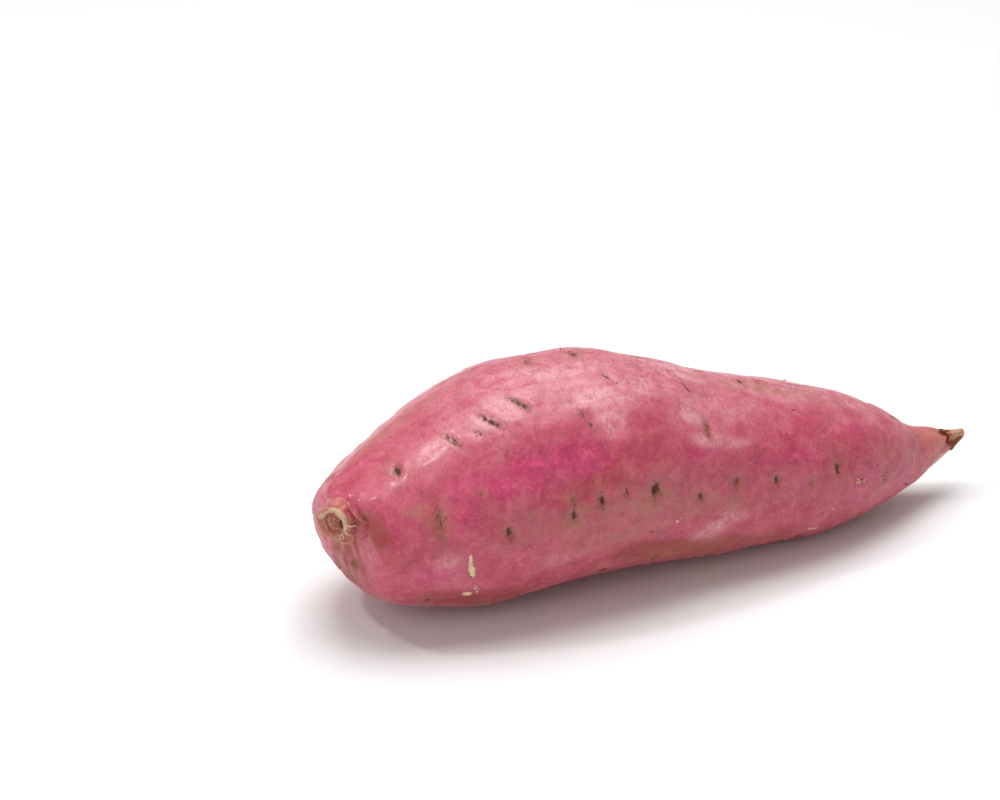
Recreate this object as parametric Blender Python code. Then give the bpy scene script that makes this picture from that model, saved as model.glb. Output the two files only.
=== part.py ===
"""A sweet potato lying on its side: one storage root that grew as one piece, so one solid.

Metres, +Z up. The root lies along X, with its stem scar towards -X and its tail towards +X, and it
rests on the plane Z = 0 on two small flat spots. X = Y = 0 is the middle of its box.
Angles round the root start at its top and run over the -Y side: 0 is up, 90 faces -Y, 180 is down
and 270 faces +Y. Places along it count from the scar. Below, sizes are in millimetres until the end.
"""

import math
import random

import bmesh
import bpy
import numpy as np

MM = 0.001
SEED = 7

# Stations of the outline, from the stem scar to the tip of the tail. Each gives the distance along the
# root, the height of its middle, half its height, the sideways place of its middle, half its width, and
# how many degrees the ring there is turned towards -Y.
SCAR_STATIONS = (
    (2.0, 36.2, 0.0, -11.5, 0.0, 40.0),
    (1.9, 36.2, 3.0, -11.5, 3.2, 40.0),
    (1.0, 36.2, 4.3, -12.1, 4.6, 40.0),
    (1.3, 36.1, 4.9, -11.9, 5.2, 40.0),
    (2.5, 35.6, 5.3, -10.8, 5.6, 38.0),
)
BODY_STATIONS = (
    (3.8, 34.6, 6.8, -9.3, 7.2, 32.0),
    (4.2, 32.6, 10.2, -7.4, 11.4, 22.0),
    (5.8, 30.4, 14.2, -5.0, 16.8, 12.0),
    (9.8, 28.6, 18.0, -3.0, 21.4, 5.0),
    (16.0, 27.8, 21.4, -1.6, 24.4, 1.0),
    (26.0, 28.3, 25.1, -0.6, 27.2, 0.0),
    (38.0, 30.0, 29.5, 0.0, 30.4, 0.0),
    (52.0, 32.2, 31.8, 0.3, 32.0, 0.0),
    (68.0, 33.4, 31.3, 0.4, 31.6, 0.0),
    (84.0, 33.1, 30.5, 0.4, 30.6, 0.0),
    (98.0, 30.0, 28.8, 0.3, 28.6, 0.0),
    (112.0, 26.6, 26.4, 0.0, 26.6, 0.0),
    (128.0, 24.2, 24.2, -0.3, 24.4, 0.0),
    (144.0, 21.8, 21.6, -0.4, 21.8, 0.0),
    (158.0, 19.9, 18.1, -0.2, 18.0, 0.0),
    (170.0, 17.8, 13.4, 0.4, 13.4, 0.0),
    (180.0, 15.8, 8.3, 1.0, 8.4, 0.0),
)
TAIL_STATIONS = (
    (187.0, 15.6, 5.6, 1.6, 5.4, 0.0),
    (193.0, 16.0, 3.2, 2.4, 2.8, 0.0),
    (197.0, 16.8, 1.7, 3.0, 1.5, 0.0),
    (199.6, 17.4, 0.8, 3.4, 0.8, 0.0),
    (200.0, 17.5, 0.0, 3.5, 0.0, 0.0),
)
STATIONS = np.array(SCAR_STATIONS + BODY_STATIONS + TAIL_STATIONS)

# How far the round underside reaches below the table before the flat spots are cut
SINK = 0.6

# Broad swellings and hollows that keep the root from being round. Each gives its place along, its
# angle, its share of the radius there, its reach along and its reach in degrees round the root.
BROAD_FORMS = (
    (4.0, 322.0, -0.18, 9.0, 62.0),
    (14.0, 337.0, -0.085, 12.0, 54.0),
    (46.0, 20.0, 0.018, 14.0, 26.0),
    (63.0, 262.0, 0.040, 20.0, 38.0),
    (96.0, 300.0, -0.034, 14.0, 34.0),
    (118.0, 236.0, 0.036, 17.0, 36.0),
    (142.0, 292.0, -0.030, 13.0, 40.0),
    (30.0, 226.0, -0.030, 13.0, 30.0),
    (160.0, 60.0, 0.016, 12.0, 34.0),
    (100.0, 92.0, -0.014, 18.0, 22.0),
)

# Marks in the skin: eyes where rootlets grew, slits, creases and wrinkles. Each gives its distance
# along, its angle, half its length round the root, half its width, its depth, the height of the lip on
# its tail side and the degrees that its length is turned towards the tail.
EYES = (
    (19.2, 26.0, 1.9, 1.1, 1.0, 0.7, 0.0),
    (26.2, 69.0, 4.6, 1.2, 0.8, 0.2, -6.0),
    (37.5, 60.0, 1.5, 1.0, 0.4, 0.1, 0.0),
    (43.5, 84.0, 2.2, 1.1, 1.0, 0.3, 4.0),
    (50.0, 80.0, 1.6, 1.0, 0.4, 0.1, 0.0),
    (61.5, 85.0, 2.0, 1.0, 0.9, 0.2, 4.0),
    (61.7, 77.0, 1.7, 0.9, 0.6, 0.1, 4.0),
    (69.6, 81.0, 2.3, 1.0, 1.1, 0.3, 6.0),
    (77.1, 80.0, 1.6, 0.9, 0.6, 0.1, 0.0),
    (86.1, 81.0, 2.5, 1.4, 1.5, 0.4, 0.0),
    (100.1, 86.0, 1.7, 1.2, 0.8, 0.2, 8.0),
    (111.7, 76.0, 2.2, 1.2, 0.8, 0.3, 6.0),
    (124.5, 76.0, 1.9, 1.1, 0.8, 0.2, 0.0),
    (136.0, 81.0, 1.4, 0.9, 0.5, 0.1, 0.0),
    (145.0, 72.0, 2.3, 1.2, 0.9, 0.3, 4.0),
    (162.8, 88.0, 2.2, 1.2, 0.5, 0.1, 0.0),
)
SLITS = (
    (34.9, 28.0, 3.4, 0.8, 0.7, 0.2, 39.0),
    (40.3, 31.0, 1.7, 0.8, 0.4, 0.1, 36.0),
    (44.2, 28.0, 3.6, 0.9, 0.9, 0.3, 38.0),
    (53.0, 24.0, 3.8, 0.9, 0.9, 0.3, 36.0),
    (69.4, 41.0, 3.4, 0.8, 0.4, 0.2, 17.0),
    (79.6, 18.0, 2.3, 0.8, 0.5, 0.2, 36.0),
    (103.3, 18.0, 2.2, 0.7, 0.7, 0.2, 24.0),
    (105.0, 46.0, 2.8, 1.4, 0.5, 0.0, 11.0),
    (123.3, 1.0, 2.6, 0.8, 0.6, 0.2, 10.0),
)
SCAR_CREASES = (
    (4.2, 62.0, 3.2, 1.2, 0.8, 0.0, 0.0),
    (4.0, 151.0, 2.4, 0.9, 0.8, 0.2, 0.0),
    (5.4, 176.0, 4.2, 0.9, 0.6, 0.3, 0.0),
    (5.0, 262.0, 4.6, 1.0, 0.5, 0.2, 0.0),
    (6.8, 318.0, 4.0, 1.0, 0.5, 0.3, 0.0),
)
FURROWS = (
    (90.0, 80.0, 5.5, 30.0, 0.6, 0.0, 0.0),
    (128.0, 300.0, 6.0, 26.0, 0.5, 0.0, 0.0),
    (56.0, 232.0, 6.0, 22.0, 0.5, 0.0, 0.0),
)

# Rows of eyes on the sides that turn away: the angle of each row and where its first eye lies
HIDDEN_ROWS = ((138.0, 24.0), (222.0, 33.0), (268.0, 18.0), (318.0, 28.0), (352.0, 62.0))
EYE_GAP = (13.0, 21.0)
LAST_EYE = 176.0

# An eye of those rows: half its length and half its width at size 1, then the least and the most of its
# size, of the degrees it strays from its row, of its depth at size 1, of its lip and of its turn. Sizes
# fall from FIRST_EYE_SIZE at the scar by EYE_SHRINK at the last eye.
EYE_HALF_LENGTH = 2.0
EYE_HALF_WIDTH = 1.1
EYE_SIZE = (0.75, 1.2)
EYE_SHRINK = 0.3
EYE_STRAY = (-7.0, 7.0)
EYE_DEPTH = (0.5, 1.0)
EYE_LIP = (0.1, 0.4)
EYE_TURN = (-10.0, 16.0)
FIRST_EYE_SIZE = 1.1

# The mesh: rings from end to end, sides round each ring, how close the rings are at thin ends against
# thick ones, and steps that divide it round the marks: how far out, and the longest edge left there.
# The last step is for the marks of the side that faces -Y.
RINGS = 68
SIDES = 36
END_SPACING = 0.15
DIVISIONS = ((2.0, 2.2), (0.8, 1.3))
FINEST_DIVISION = (-0.1, 0.9)

# How far from its own plane a mark reaches: this much, and a share of its length and width
MARK_REACH = 2.0
MARK_REACH_SHARE = 0.15

# How many half widths behind a mark its lip lies, and the steps, as a share and in degrees, over which
# the directions at a mark are measured
LIP_PLACE = 1.7
SHARE_STEP = 0.001
ANGLE_STEP = 0.5

# The share where the neck ends, from which distances along grow steadily, and how finely shares are
# read off the outline
NECK_SHARE = 0.12
FINE_STEPS = 4000

# Points this close to the table plane are taken to lie on it when the flat spots are cut
CUT_SNAP = 1e-4

# Edges sharper than this many degrees, such as those round the flat spots, are drawn sharp
SHARP_ANGLE = 50.0

SKIN_COLOUR = (0.47, 0.085, 0.125, 1.0)
SKIN_ROUGHNESS = 0.5


def outline(share):
    """The outline's values at shares 0 to 1 of the way from scar to tip, on a smooth curve through the
    stations: a cubic between each two, whose slope at a station is that of its two neighbours."""
    steps = np.hypot(*np.diff(STATIONS[:, [0, 2]], axis=0).T)
    knots = np.concatenate([[0.0], np.cumsum(np.sqrt(steps))])
    slopes = np.gradient(STATIONS, knots, axis=0)
    place = np.asarray(share) * knots[-1]
    span = np.clip(np.searchsorted(knots, place, side="right") - 1, 0, len(knots) - 2)
    width = (knots[span + 1] - knots[span])[..., None]
    t = (place - knots[span])[..., None] / width
    start, end = STATIONS[span], STATIONS[span + 1]
    return (
        start * (2 * t**3 - 3 * t**2 + 1)
        + slopes[span] * width * (t**3 - 2 * t**2 + t)
        + end * (3 * t**2 - 2 * t**3)
        + slopes[span + 1] * width * (t**3 - t**2)
    )


def turned_by(angle, start):
    """Degrees from start to angle the short way round, between -180 and 180."""
    return (angle - start + 180.0) % 360.0 - 180.0


def body_point(share, angle):
    """Points of the smooth body: an ellipse for each share, swollen or hollowed by the broad forms."""
    along, height, half_height, side, half_width, turn = np.moveaxis(outline(share), -1, 0)
    scale = np.ones(np.broadcast(along, angle).shape)
    for place, start, amount, reach, spread in BROAD_FORMS:
        scale += amount * np.exp(
            -(((along - place) / reach) ** 2) - (turned_by(angle, start) / spread) ** 2
        )
    across = scale * half_width * np.sin(np.radians(angle))
    lift = scale * (half_height + SINK / 2) * np.cos(np.radians(angle))
    return np.stack(
        [
            along + across * np.sin(np.radians(turn)),
            side - across * np.cos(np.radians(turn)),
            height - SINK / 2 + lift,
        ],
        axis=-1,
    )


def share_at(along):
    """The share whose ring lies at these distances along the body, behind the neck."""
    shares = np.linspace(NECK_SHARE, 1.0, FINE_STEPS)
    return np.interp(along, outline(shares)[:, 0], shares)


def hidden_eyes():
    """Eyes at uneven gaps along each hidden row, smaller towards the tail."""
    draw = random.Random(SEED)
    eyes = []
    for angle, place in HIDDEN_ROWS:
        while place < LAST_EYE:
            size = draw.uniform(*EYE_SIZE) * (FIRST_EYE_SIZE - EYE_SHRINK * place / LAST_EYE)
            eyes.append(
                (
                    place,
                    angle + draw.uniform(*EYE_STRAY),
                    EYE_HALF_LENGTH * size,
                    EYE_HALF_WIDTH * size,
                    draw.uniform(*EYE_DEPTH) * size,
                    draw.uniform(*EYE_LIP),
                    draw.uniform(*EYE_TURN),
                )
            )
            place += draw.uniform(*EYE_GAP)
    return eyes


def placed_marks(marks):
    """Each mark with its middle and three directions: along it is wide, round it is long, and out."""
    table = np.array(marks)
    share, angle = share_at(table[:, 0]), table[:, 1]
    middle = body_point(share, angle)
    along = body_point(share + SHARE_STEP, angle) - body_point(share - SHARE_STEP, angle)
    around = body_point(share, angle + ANGLE_STEP) - body_point(share, angle - ANGLE_STEP)
    along /= np.linalg.norm(along, axis=1, keepdims=True)
    out = np.cross(around, along)
    out /= np.linalg.norm(out, axis=1, keepdims=True)
    around = np.cross(along, out)
    turn = np.radians(table[:, 6:7])
    length = np.cos(turn) * around + np.sin(turn) * along
    width = np.cos(turn) * along - np.sin(turn) * around
    return list(zip(table, middle, width, length, out))


def from_mark(points, mark, margin=0.0):
    """How far the points are across, down and out of a mark: the first two in its half width and half
    length, each with a margin added, and the last in the mark's reach from its own plane."""
    values, middle, width, length, out = mark
    half_length, half_width = values[2], values[3]
    offset = points - middle
    across = offset @ width / (half_width + margin)
    down = offset @ length / (half_length + margin)
    reach = MARK_REACH + MARK_REACH_SHARE * (half_length + half_width)
    return across, down, offset @ out / reach


def relief(points, placed):
    """How far the marks raise or sink the skin: each is a bell-shaped pit with a lower bell for a lip."""
    height = np.zeros(points.shape[:-1])
    for mark in placed:
        depth, lip = mark[0][4:6]
        across, down, outward = from_mark(points, mark)
        pit = depth * np.exp(-(across**2) - down**2)
        ridge = lip * np.exp(-((across - LIP_PLACE) ** 2) - down**2)
        height += np.exp(-(outward**4)) * (ridge - pit)
    return height


def ring_shares():
    """Shares of the rings: close together at the thin ends and wider apart along the thick body."""
    shares = np.linspace(0.0, 1.0, FINE_STEPS)
    values = outline(shares)
    steps = np.hypot(np.diff(values[:, 0]), np.diff(values[:, 2]))
    thickness = (values[1:, 2] + values[:-1, 2]) / 2
    spacing = END_SPACING + thickness / thickness.max()
    travel = np.concatenate([[0.0], np.cumsum(steps / spacing)])
    return np.interp(np.linspace(0.0, travel[-1], RINGS + 2), travel, shares)


class Skin:
    """The mesh of the root, each of whose vertices knows its share and, as a sine and cosine, its angle."""

    def __init__(self):
        self.bm = bmesh.new()
        self.share = self.bm.verts.layers.float.new("share")
        self.sine = self.bm.verts.layers.float.new("sine")
        self.cosine = self.bm.verts.layers.float.new("cosine")

    def vertex(self, share, degrees=None):
        made = self.bm.verts.new()
        made[self.share] = share
        if degrees is not None:
            made[self.sine] = math.sin(math.radians(degrees))
            made[self.cosine] = math.cos(math.radians(degrees))
        return made

    def build(self):
        """Rings of quads between two poles, the middle of the scar and the tip of the tail."""
        shares = ring_shares()
        scar = self.vertex(0.0)
        tip = self.vertex(1.0)
        step = 360.0 / SIDES
        rings = [[self.vertex(share, step * k) for k in range(SIDES)] for share in shares[1:-1]]
        for k in range(SIDES):
            after = (k + 1) % SIDES
            self.bm.faces.new((scar, rings[0][after], rings[0][k]))
            self.bm.faces.new((tip, rings[-1][k], rings[-1][after]))
            for ring, following in zip(rings, rings[1:]):
                self.bm.faces.new((ring[k], ring[after], following[after], following[k]))

    def place(self):
        """Puts every vertex on the smooth body."""
        share = np.array([v[self.share] for v in self.bm.verts])
        angle = np.degrees(
            [math.atan2(v[self.sine], v[self.cosine]) for v in self.bm.verts]
        )
        for vertex, point in zip(self.bm.verts, body_point(share, angle % 360.0)):
            vertex.co = point
        self.bm.normal_update()

    def divide(self, placed, margin, longest):
        """Quarters the faces within a margin of a mark that still have an edge longer than this."""
        faces = [f for f in self.bm.faces if max(e.calc_length() for e in f.edges) > longest]
        middles = np.array([face.calc_center_median() for face in faces])
        close = np.zeros(len(faces), bool)
        for mark in placed:
            across, down, outward = from_mark(middles, mark, margin)
            close |= (across**2 + down**2 < 1.0) & (np.abs(outward) < 1.0)
        for edge in self.bm.edges:
            edge.tag = False
        for face, chosen in zip(faces, close):
            for edge in face.edges:
                edge.tag |= bool(chosen)
        edges = [edge for edge in self.bm.edges if edge.tag]
        bmesh.ops.subdivide_edges(self.bm, edges=edges, cuts=1, use_grid_fill=True)
        self.place()

    def emboss(self, placed):
        """Moves each vertex along its normal by the relief there."""
        points = np.array([v.co for v in self.bm.verts])
        normals = np.array([v.normal for v in self.bm.verts])
        points += relief(points, placed)[:, None] * normals
        for vertex, point in zip(self.bm.verts, points):
            vertex.co = point

    def cut_flat(self):
        """Cuts off what reaches below the table and closes the two small flat spots."""
        parts = self.bm.verts[:] + self.bm.edges[:] + self.bm.faces[:]
        bmesh.ops.bisect_plane(
            self.bm, geom=parts, dist=CUT_SNAP, plane_co=(0, 0, 0), plane_no=(0, 0, -1), clear_outer=True
        )
        rim = [edge for edge in self.bm.edges if edge.is_boundary]
        bmesh.ops.holes_fill(self.bm, edges=rim, sides=0)
        bmesh.ops.triangulate(self.bm, faces=self.bm.faces[:])
        bmesh.ops.recalc_face_normals(self.bm, faces=self.bm.faces[:])

    def finished(self, name):
        """The mesh in metres, with the middle of its box over X = Y = 0."""
        points = np.array([v.co for v in self.bm.verts])
        middle = (points.min(axis=0) + points.max(axis=0)) / 2
        for vertex in self.bm.verts:
            vertex.co.x = (vertex.co.x - middle[0]) * MM
            vertex.co.y = (vertex.co.y - middle[1]) * MM
            vertex.co.z *= MM
        mesh = bpy.data.meshes.new(name)
        self.bm.to_mesh(mesh)
        self.bm.free()
        mesh.shade_smooth()
        mesh.set_sharp_from_angle(angle=math.radians(SHARP_ANGLE))
        return mesh


def skin_material():
    material = bpy.data.materials.new("pink_skin")
    material.use_nodes = True
    shader = material.node_tree.nodes["Principled BSDF"]
    shader.inputs["Base Color"].default_value = SKIN_COLOUR
    shader.inputs["Roughness"].default_value = SKIN_ROUGHNESS
    shader.inputs["Metallic"].default_value = 0.0
    material.diffuse_color = SKIN_COLOUR
    return material


def clear_scene():
    for thing in list(bpy.data.objects):
        bpy.data.objects.remove(thing, do_unlink=True)


def main():
    clear_scene()
    facing = placed_marks(EYES + SLITS)
    small = facing + placed_marks(SCAR_CREASES + tuple(hidden_eyes()))
    skin = Skin()
    skin.build()
    skin.place()
    for margin, longest in DIVISIONS:
        skin.divide(small, margin, longest)
    skin.divide(facing, *FINEST_DIVISION)
    skin.emboss(small + placed_marks(FURROWS))
    skin.cut_flat()
    root = bpy.data.objects.new("sweet_potato", skin.finished("sweet_potato"))
    root.data.materials.append(skin_material())
    bpy.context.scene.collection.objects.link(root)


main()
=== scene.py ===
"""The looks of a sweet potato lying on its side: its fine skin, the cork of its stem scar, its dried
tail, and the rootlets, loose skin and soil that cling to it, on a plain pale floor.

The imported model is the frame, in metres. The shapes below are worked out in millimetres in the root's
own measures and then moved onto the frame: X runs from the stem scar to the tail, and angles round the
root start at its top and run over the -Y side, so 0 is up, 90 faces -Y, 180 is down and 270 faces +Y.
"""

import math
import random

import bpy
import numpy as np
from mathutils import Matrix, Vector


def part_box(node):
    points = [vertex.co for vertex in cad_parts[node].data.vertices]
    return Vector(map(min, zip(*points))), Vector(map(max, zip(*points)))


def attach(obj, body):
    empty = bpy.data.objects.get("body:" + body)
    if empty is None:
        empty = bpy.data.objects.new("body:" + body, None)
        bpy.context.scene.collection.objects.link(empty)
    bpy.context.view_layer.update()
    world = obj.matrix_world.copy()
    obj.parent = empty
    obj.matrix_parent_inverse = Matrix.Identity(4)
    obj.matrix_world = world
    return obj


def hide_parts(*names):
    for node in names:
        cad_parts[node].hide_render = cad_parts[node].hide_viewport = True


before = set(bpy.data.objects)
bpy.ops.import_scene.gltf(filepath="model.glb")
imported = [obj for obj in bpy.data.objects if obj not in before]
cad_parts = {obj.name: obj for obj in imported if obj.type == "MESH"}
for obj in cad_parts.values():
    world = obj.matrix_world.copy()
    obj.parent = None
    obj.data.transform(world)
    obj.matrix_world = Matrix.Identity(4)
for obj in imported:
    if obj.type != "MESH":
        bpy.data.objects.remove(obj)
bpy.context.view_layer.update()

bl_info = {
    "name": "Sweet Potato",
    "version": (1, 0, 0),
    "blender": (4, 5, 0),
    "location": "3D View > Sidebar > Root",
    "description": "Finishes a sweet potato: skin, stem scar, dried tail, rootlets, loose skin and soil",
    "category": "Object",
}

NODE = "sweet_potato"
BODY = "root"
MM = 0.001

# Seeds of what is placed by chance: the eyes on the sides that turn away, then each of the small pieces
SEED = 7
STRAND_SEED = 31
ROOTLET_SEED = 51
FLAKE_SEED = 61
CRUMB_SEED = 71

# Points along a strand and a rootlet and round both, points round a flake, and rows of points on a crumb
# and the points in each
STRAND_POINTS = 10
ROOTLET_POINTS = 12
TUBE_SIDES = 7
FLAKE_SIDES = 16
CRUMB_ROWS = 5
CRUMB_SIDES = 7

# The point the camera is aimed by, where it lies in the picture, the picture's size in pixels, and the
# width of the camera's sensor in millimetres
TARGET = (0.00086, -0.001, 0.028)
TARGET_PIXEL = (659.0, 463.0)
PICTURE = (1000.0, 800.0)
SENSOR = 36.0

# The direction from the target to the main light, its distance and the length of its side in metres; the
# same for the small light that makes the glint; how far the third light stands to the right of the
# target, above it and towards the camera, and the length of its side; and half the floor's side
KEY_DIRECTION = (0.06, 0.16, 0.985)
KEY_DISTANCE = 1.3
KEY_SIZE = 0.85
GLINT_DIRECTION = (-0.55, 0.17, 0.88)
GLINT_DISTANCE = 1.0
GLINT_SIZE = 0.09
FILL_PLACE = (-0.7, 0.1, 0.9)
FILL_SIZE = 0.8
FLOOR_HALF = 6.0

# Stations of the outline: distance along, height of the middle, half height, sideways place of the
# middle, half width, and degrees that the ring is turned towards -Y
SCAR_STATIONS = (
    (2, 36.2, 0, -11.5, 0, 40),
    (1.9, 36.2, 3, -11.5, 3.2, 40),
    (1, 36.2, 4.3, -12.1, 4.6, 40),
    (1.3, 36.1, 4.9, -11.9, 5.2, 40),
    (2.5, 35.6, 5.3, -10.8, 5.6, 38),
)
BODY_STATIONS = (
    (3.8, 34.6, 6.8, -9.3, 7.2, 32),
    (4.2, 32.6, 10.2, -7.4, 11.4, 22),
    (5.8, 30.4, 14.2, -5, 16.8, 12),
    (9.8, 28.6, 18, -3, 21.4, 5),
    (16, 27.8, 21.4, -1.6, 24.4, 1),
    (26, 28.3, 25.1, -0.6, 27.2, 0),
    (38, 30, 29.5, 0, 30.4, 0),
    (52, 32.2, 31.8, 0.3, 32, 0),
    (68, 33.4, 31.3, 0.4, 31.6, 0),
    (84, 33.1, 30.5, 0.4, 30.6, 0),
    (98, 30, 28.8, 0.3, 28.6, 0),
    (112, 26.6, 26.4, 0, 26.6, 0),
    (128, 24.2, 24.2, -0.3, 24.4, 0),
    (144, 21.8, 21.6, -0.4, 21.8, 0),
    (158, 19.9, 18.1, -0.2, 18, 0),
    (170, 17.8, 13.4, 0.4, 13.4, 0),
    (180, 15.8, 8.3, 1, 8.4, 0),
)
TAIL_STATIONS = (
    (187, 15.6, 5.6, 1.6, 5.4, 0),
    (193, 16, 3.2, 2.4, 2.8, 0),
    (197, 16.8, 1.7, 3, 1.5, 0),
    (199.6, 17.4, 0.8, 3.4, 0.8, 0),
    (200, 17.5, 0, 3.5, 0, 0),
)
STATIONS = np.array(SCAR_STATIONS + BODY_STATIONS + TAIL_STATIONS)

# How far the round underside reaches below the table before it is pressed flat there
SINK = 0.6

# The share at which the neck behind the scar ends, the share of the puckers behind it and their reach,
# and where the swollen lip stands: its radius on top, how much farther out it runs on the side that
# faces -Y, its middle in degrees and its reach round the neck
SCAR_SHARE = 0.075
PUCKER_SHARE = 0.10
PUCKER_REACH = 0.06
COLLAR_RADIUS = 6.1
COLLAR_DRIFT = 3.4
COLLAR_ANGLE = 30.0
COLLAR_REACH = 45.0

# The hump on the tail, as its place along and angle and its reach along and in degrees, and the slant of
# the dried cap's border, which lies that far nearer the scar at that angle and nearer the tip opposite
HUMP_PLACE = (186.5, 5.0)
HUMP_REACH = (4.0, 55.0)
TAIL_SLANT = 2.0
TAIL_SLANT_ANGLE = -25.0

# Broad swellings and hollows: place along, angle, share of the radius, reach along, reach in degrees
BROAD_FORMS = (
    (4, 322, -0.18, 9, 62),
    (14, 337, -0.085, 12, 54),
    (46, 20, 0.018, 14, 26),
    (63, 262, 0.040, 20, 38),
    (96, 300, -0.034, 14, 34),
    (118, 236, 0.036, 17, 36),
    (142, 292, -0.030, 13, 40),
    (30, 226, -0.030, 13, 30),
    (160, 60, 0.016, 12, 34),
    (100, 92, -0.014, 18, 22),
)

# Marks: distance along, angle, half length round the root, half width, depth, height of the lip on the
# tail side, and degrees that the length is turned towards the tail
ALONG, ANGLE, HALF_LENGTH, HALF_WIDTH, DEPTH, LIP, TURN = range(7)
EYES = (
    (19.2, 26, 1.9, 1.1, 1, 0.7, 0),
    (26.2, 69, 4.6, 1.2, 0.8, 0.2, -6),
    (37.5, 60, 1.5, 1, 0.4, 0.1, 0),
    (43.5, 84, 2.2, 1.1, 1, 0.3, 4),
    (50, 80, 1.6, 1, 0.4, 0.1, 0),
    (61.5, 85, 2, 1, 0.9, 0.2, 4),
    (61.7, 77, 1.7, 0.9, 0.6, 0.1, 4),
    (69.6, 81, 2.3, 1, 1.1, 0.3, 6),
    (77.1, 80, 1.6, 0.9, 0.6, 0.1, 0),
    (86.1, 81, 2.5, 1.4, 1.5, 0.4, 0),
    (100.1, 86, 1.7, 1.2, 0.8, 0.2, 8),
    (111.7, 76, 2.2, 1.2, 0.8, 0.3, 6),
    (124.5, 76, 1.9, 1.1, 0.8, 0.2, 0),
    (136, 81, 1.4, 0.9, 0.5, 0.1, 0),
    (145, 72, 2.3, 1.2, 0.9, 0.3, 4),
    (162.8, 88, 2.2, 1.2, 0.5, 0.1, 0),
)
SLITS = (
    (34.1, 28, 4.2, 0.8, 0.7, 0.2, 23),
    (40.3, 31, 2, 0.8, 0.4, 0.1, 30),
    (44.2, 28, 4.3, 0.9, 0.9, 0.3, 28),
    (52.8, 24, 4.8, 0.9, 0.9, 0.3, 33),
    (69.4, 41, 4, 0.8, 0.5, 0.2, 17),
    (79.6, 18, 2.3, 0.8, 0.5, 0.2, 36),
    (103.3, 18, 2.2, 0.7, 0.7, 0.2, 24),
    (105, 46, 2.8, 1.4, 0.5, 0, 11),
    (123.3, 1, 2.6, 0.8, 0.6, 0.2, 10),
)
SCAR_CREASES = (
    (4.2, 62, 3.2, 1.2, 0.8, 0, 0),
    (4, 151, 2.4, 0.9, 0.8, 0.2, 0),
    (5.4, 176, 4.2, 0.9, 0.6, 0.3, 0),
    (5, 262, 4.6, 1, 0.5, 0.2, 0),
    (6.8, 318, 4, 1, 0.5, 0.3, 0),
)
FURROWS = (
    (90, 80, 5.5, 30, 0.6, 0, 0),
    (128, 300, 6, 26, 0.5, 0, 0),
    (56, 232, 6, 22, 0.5, 0, 0),
)

# Rows of eyes on the sides that turn away: the angle of each row and where its first eye lies, then the
# least and the largest gap between two eyes, and where the last may lie
HIDDEN_ROWS = ((138, 24), (222, 33), (268, 18), (318, 28), (352, 62))
EYE_GAP = (13.0, 21.0)
LAST_EYE = 176.0

# How far from its own plane a mark reaches: this much, and a share of its length and width
MARK_REACH = 2.0
MARK_REACH_SHARE = 0.15

# How many half widths behind a mark its lip lies
LIP_PLACE = 1.7

# The gap between the skin's rings at the thin ends, in parts of what the greatest thickness adds to it
END_SPACING = 0.15

# Patches of colour: distance along, angle, reach along, reach round, strength
# Dust patches; a few of them paint the highlight on the shoulder and the sheen round it
DUST_AND_SHEEN_PATCHES = (
    (103, 356, 11, 7, 1),
    (73, 12, 14, 7, 0.5),
    (75.6, 44, 3.6, 7, 1),
    (72, 30, 9, 6, 0.55),
    (100.4, 40, 5.5, 6, 0.8),
    (103, 53, 4.5, 4.5, 0.7),
    (111, 52, 7, 4, 0.7),
    (88.3, 24, 9, 7, 0.55),
    (48, 24, 10, 8, 0.65),
    (62.7, 6, 14, 8, 0.5),
    (17.7, 34, 5, 5, 0.45),
    # Painted sheen round the highlight on the shoulder
    (28.3, 27, 7, 6, 0.35),
    (27.5, 94, 4, 5, 0.7),
    (30, 110, 6, 5, 0.3),
    (58, 109, 8, 5, 0.4),
    (102, 113, 3.4, 4, 1.1),
    (106, 105, 3.4, 4, 1.2),
    (110.5, 97, 3.6, 4.5, 1),
    (140, 12, 20, 8, 0.5),
    (111, 32, 10, 9, 0.45),
    (77.5, 32, 8, 7, 0.55),
    (101, 8, 7, 4, 0.7),
    # Painted sheen round the highlight, then the painted highlight itself
    (30, 24, 8, 8, 0.30),
    (28.5, 28, 3.2, 3, 1),
    (128, 9, 14, 4, 0.5),
    (187.4, 56, 2.2, 2, 1),
)
TAN_PATCHES = (
    (62, 88, 12, 7, 0.55),
    (85, 88, 9, 8, 0.8),
    (81, 103, 10, 7, 0.7),
    (69.4, 104, 9, 7, 0.6),
    (90, 128, 14, 8, 0.6),
    (97, 88, 8, 7, 0.6),
    (111, 91, 7, 6, 0.5),
    (26.2, 68, 3.5, 7, 0.6),
    (20.4, 56, 3.6, 5, 0.9),
    (15.5, 336, 6, 9, 0.7),
    (22.5, 342, 8, 9, 0.5),
    (34, 350, 12, 8, 0.4),
    (122, 7, 8, 6, 0.8),
    (134, 10, 9, 5, 0.7),
    (147, 14, 9, 5, 0.5),
    (114, 120, 14, 8, 0.45),
    (170, 60, 9, 12, 0.5),
    (180, 40, 7, 20, 0.7),
    (190, 55, 2.8, 3, 1.2),
    (132, 9, 15, 4, 0.5),
)
HOT_PATCHES = (
    (66, 60, 10, 9, 1),
    (54, 59, 10, 10, 1),
    (42, 60, 9, 10, 0.8),
    (30, 50, 7, 7, 0.8),
    (11.6, 358, 4, 7, 0.9),
    (30.5, 70, 3.5, 9, 0.9),
    (22, 100, 10, 12, 0.7),
    (46, 101, 8, 9, 0.6),
    (98, 62, 12, 8, 0.55),
    (129.5, 62, 14, 9, 0.6),
    (148, 42, 12, 8, 0.5),
    (157, 78, 9, 8, 0.6),
    (100, 14, 6, 5, 0.7),
)
CRIMSON_PATCHES = (
    (72.6, 66, 8, 8, 0.9),
    (64, 74, 12, 6, 0.7),
    (90, 66, 10, 6, 0.7),
    (12.8, 86, 8, 14, 0.7),
    (86, 52, 6, 5, 0.6),
    (130, 96, 20, 10, 0.4),
)
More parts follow.
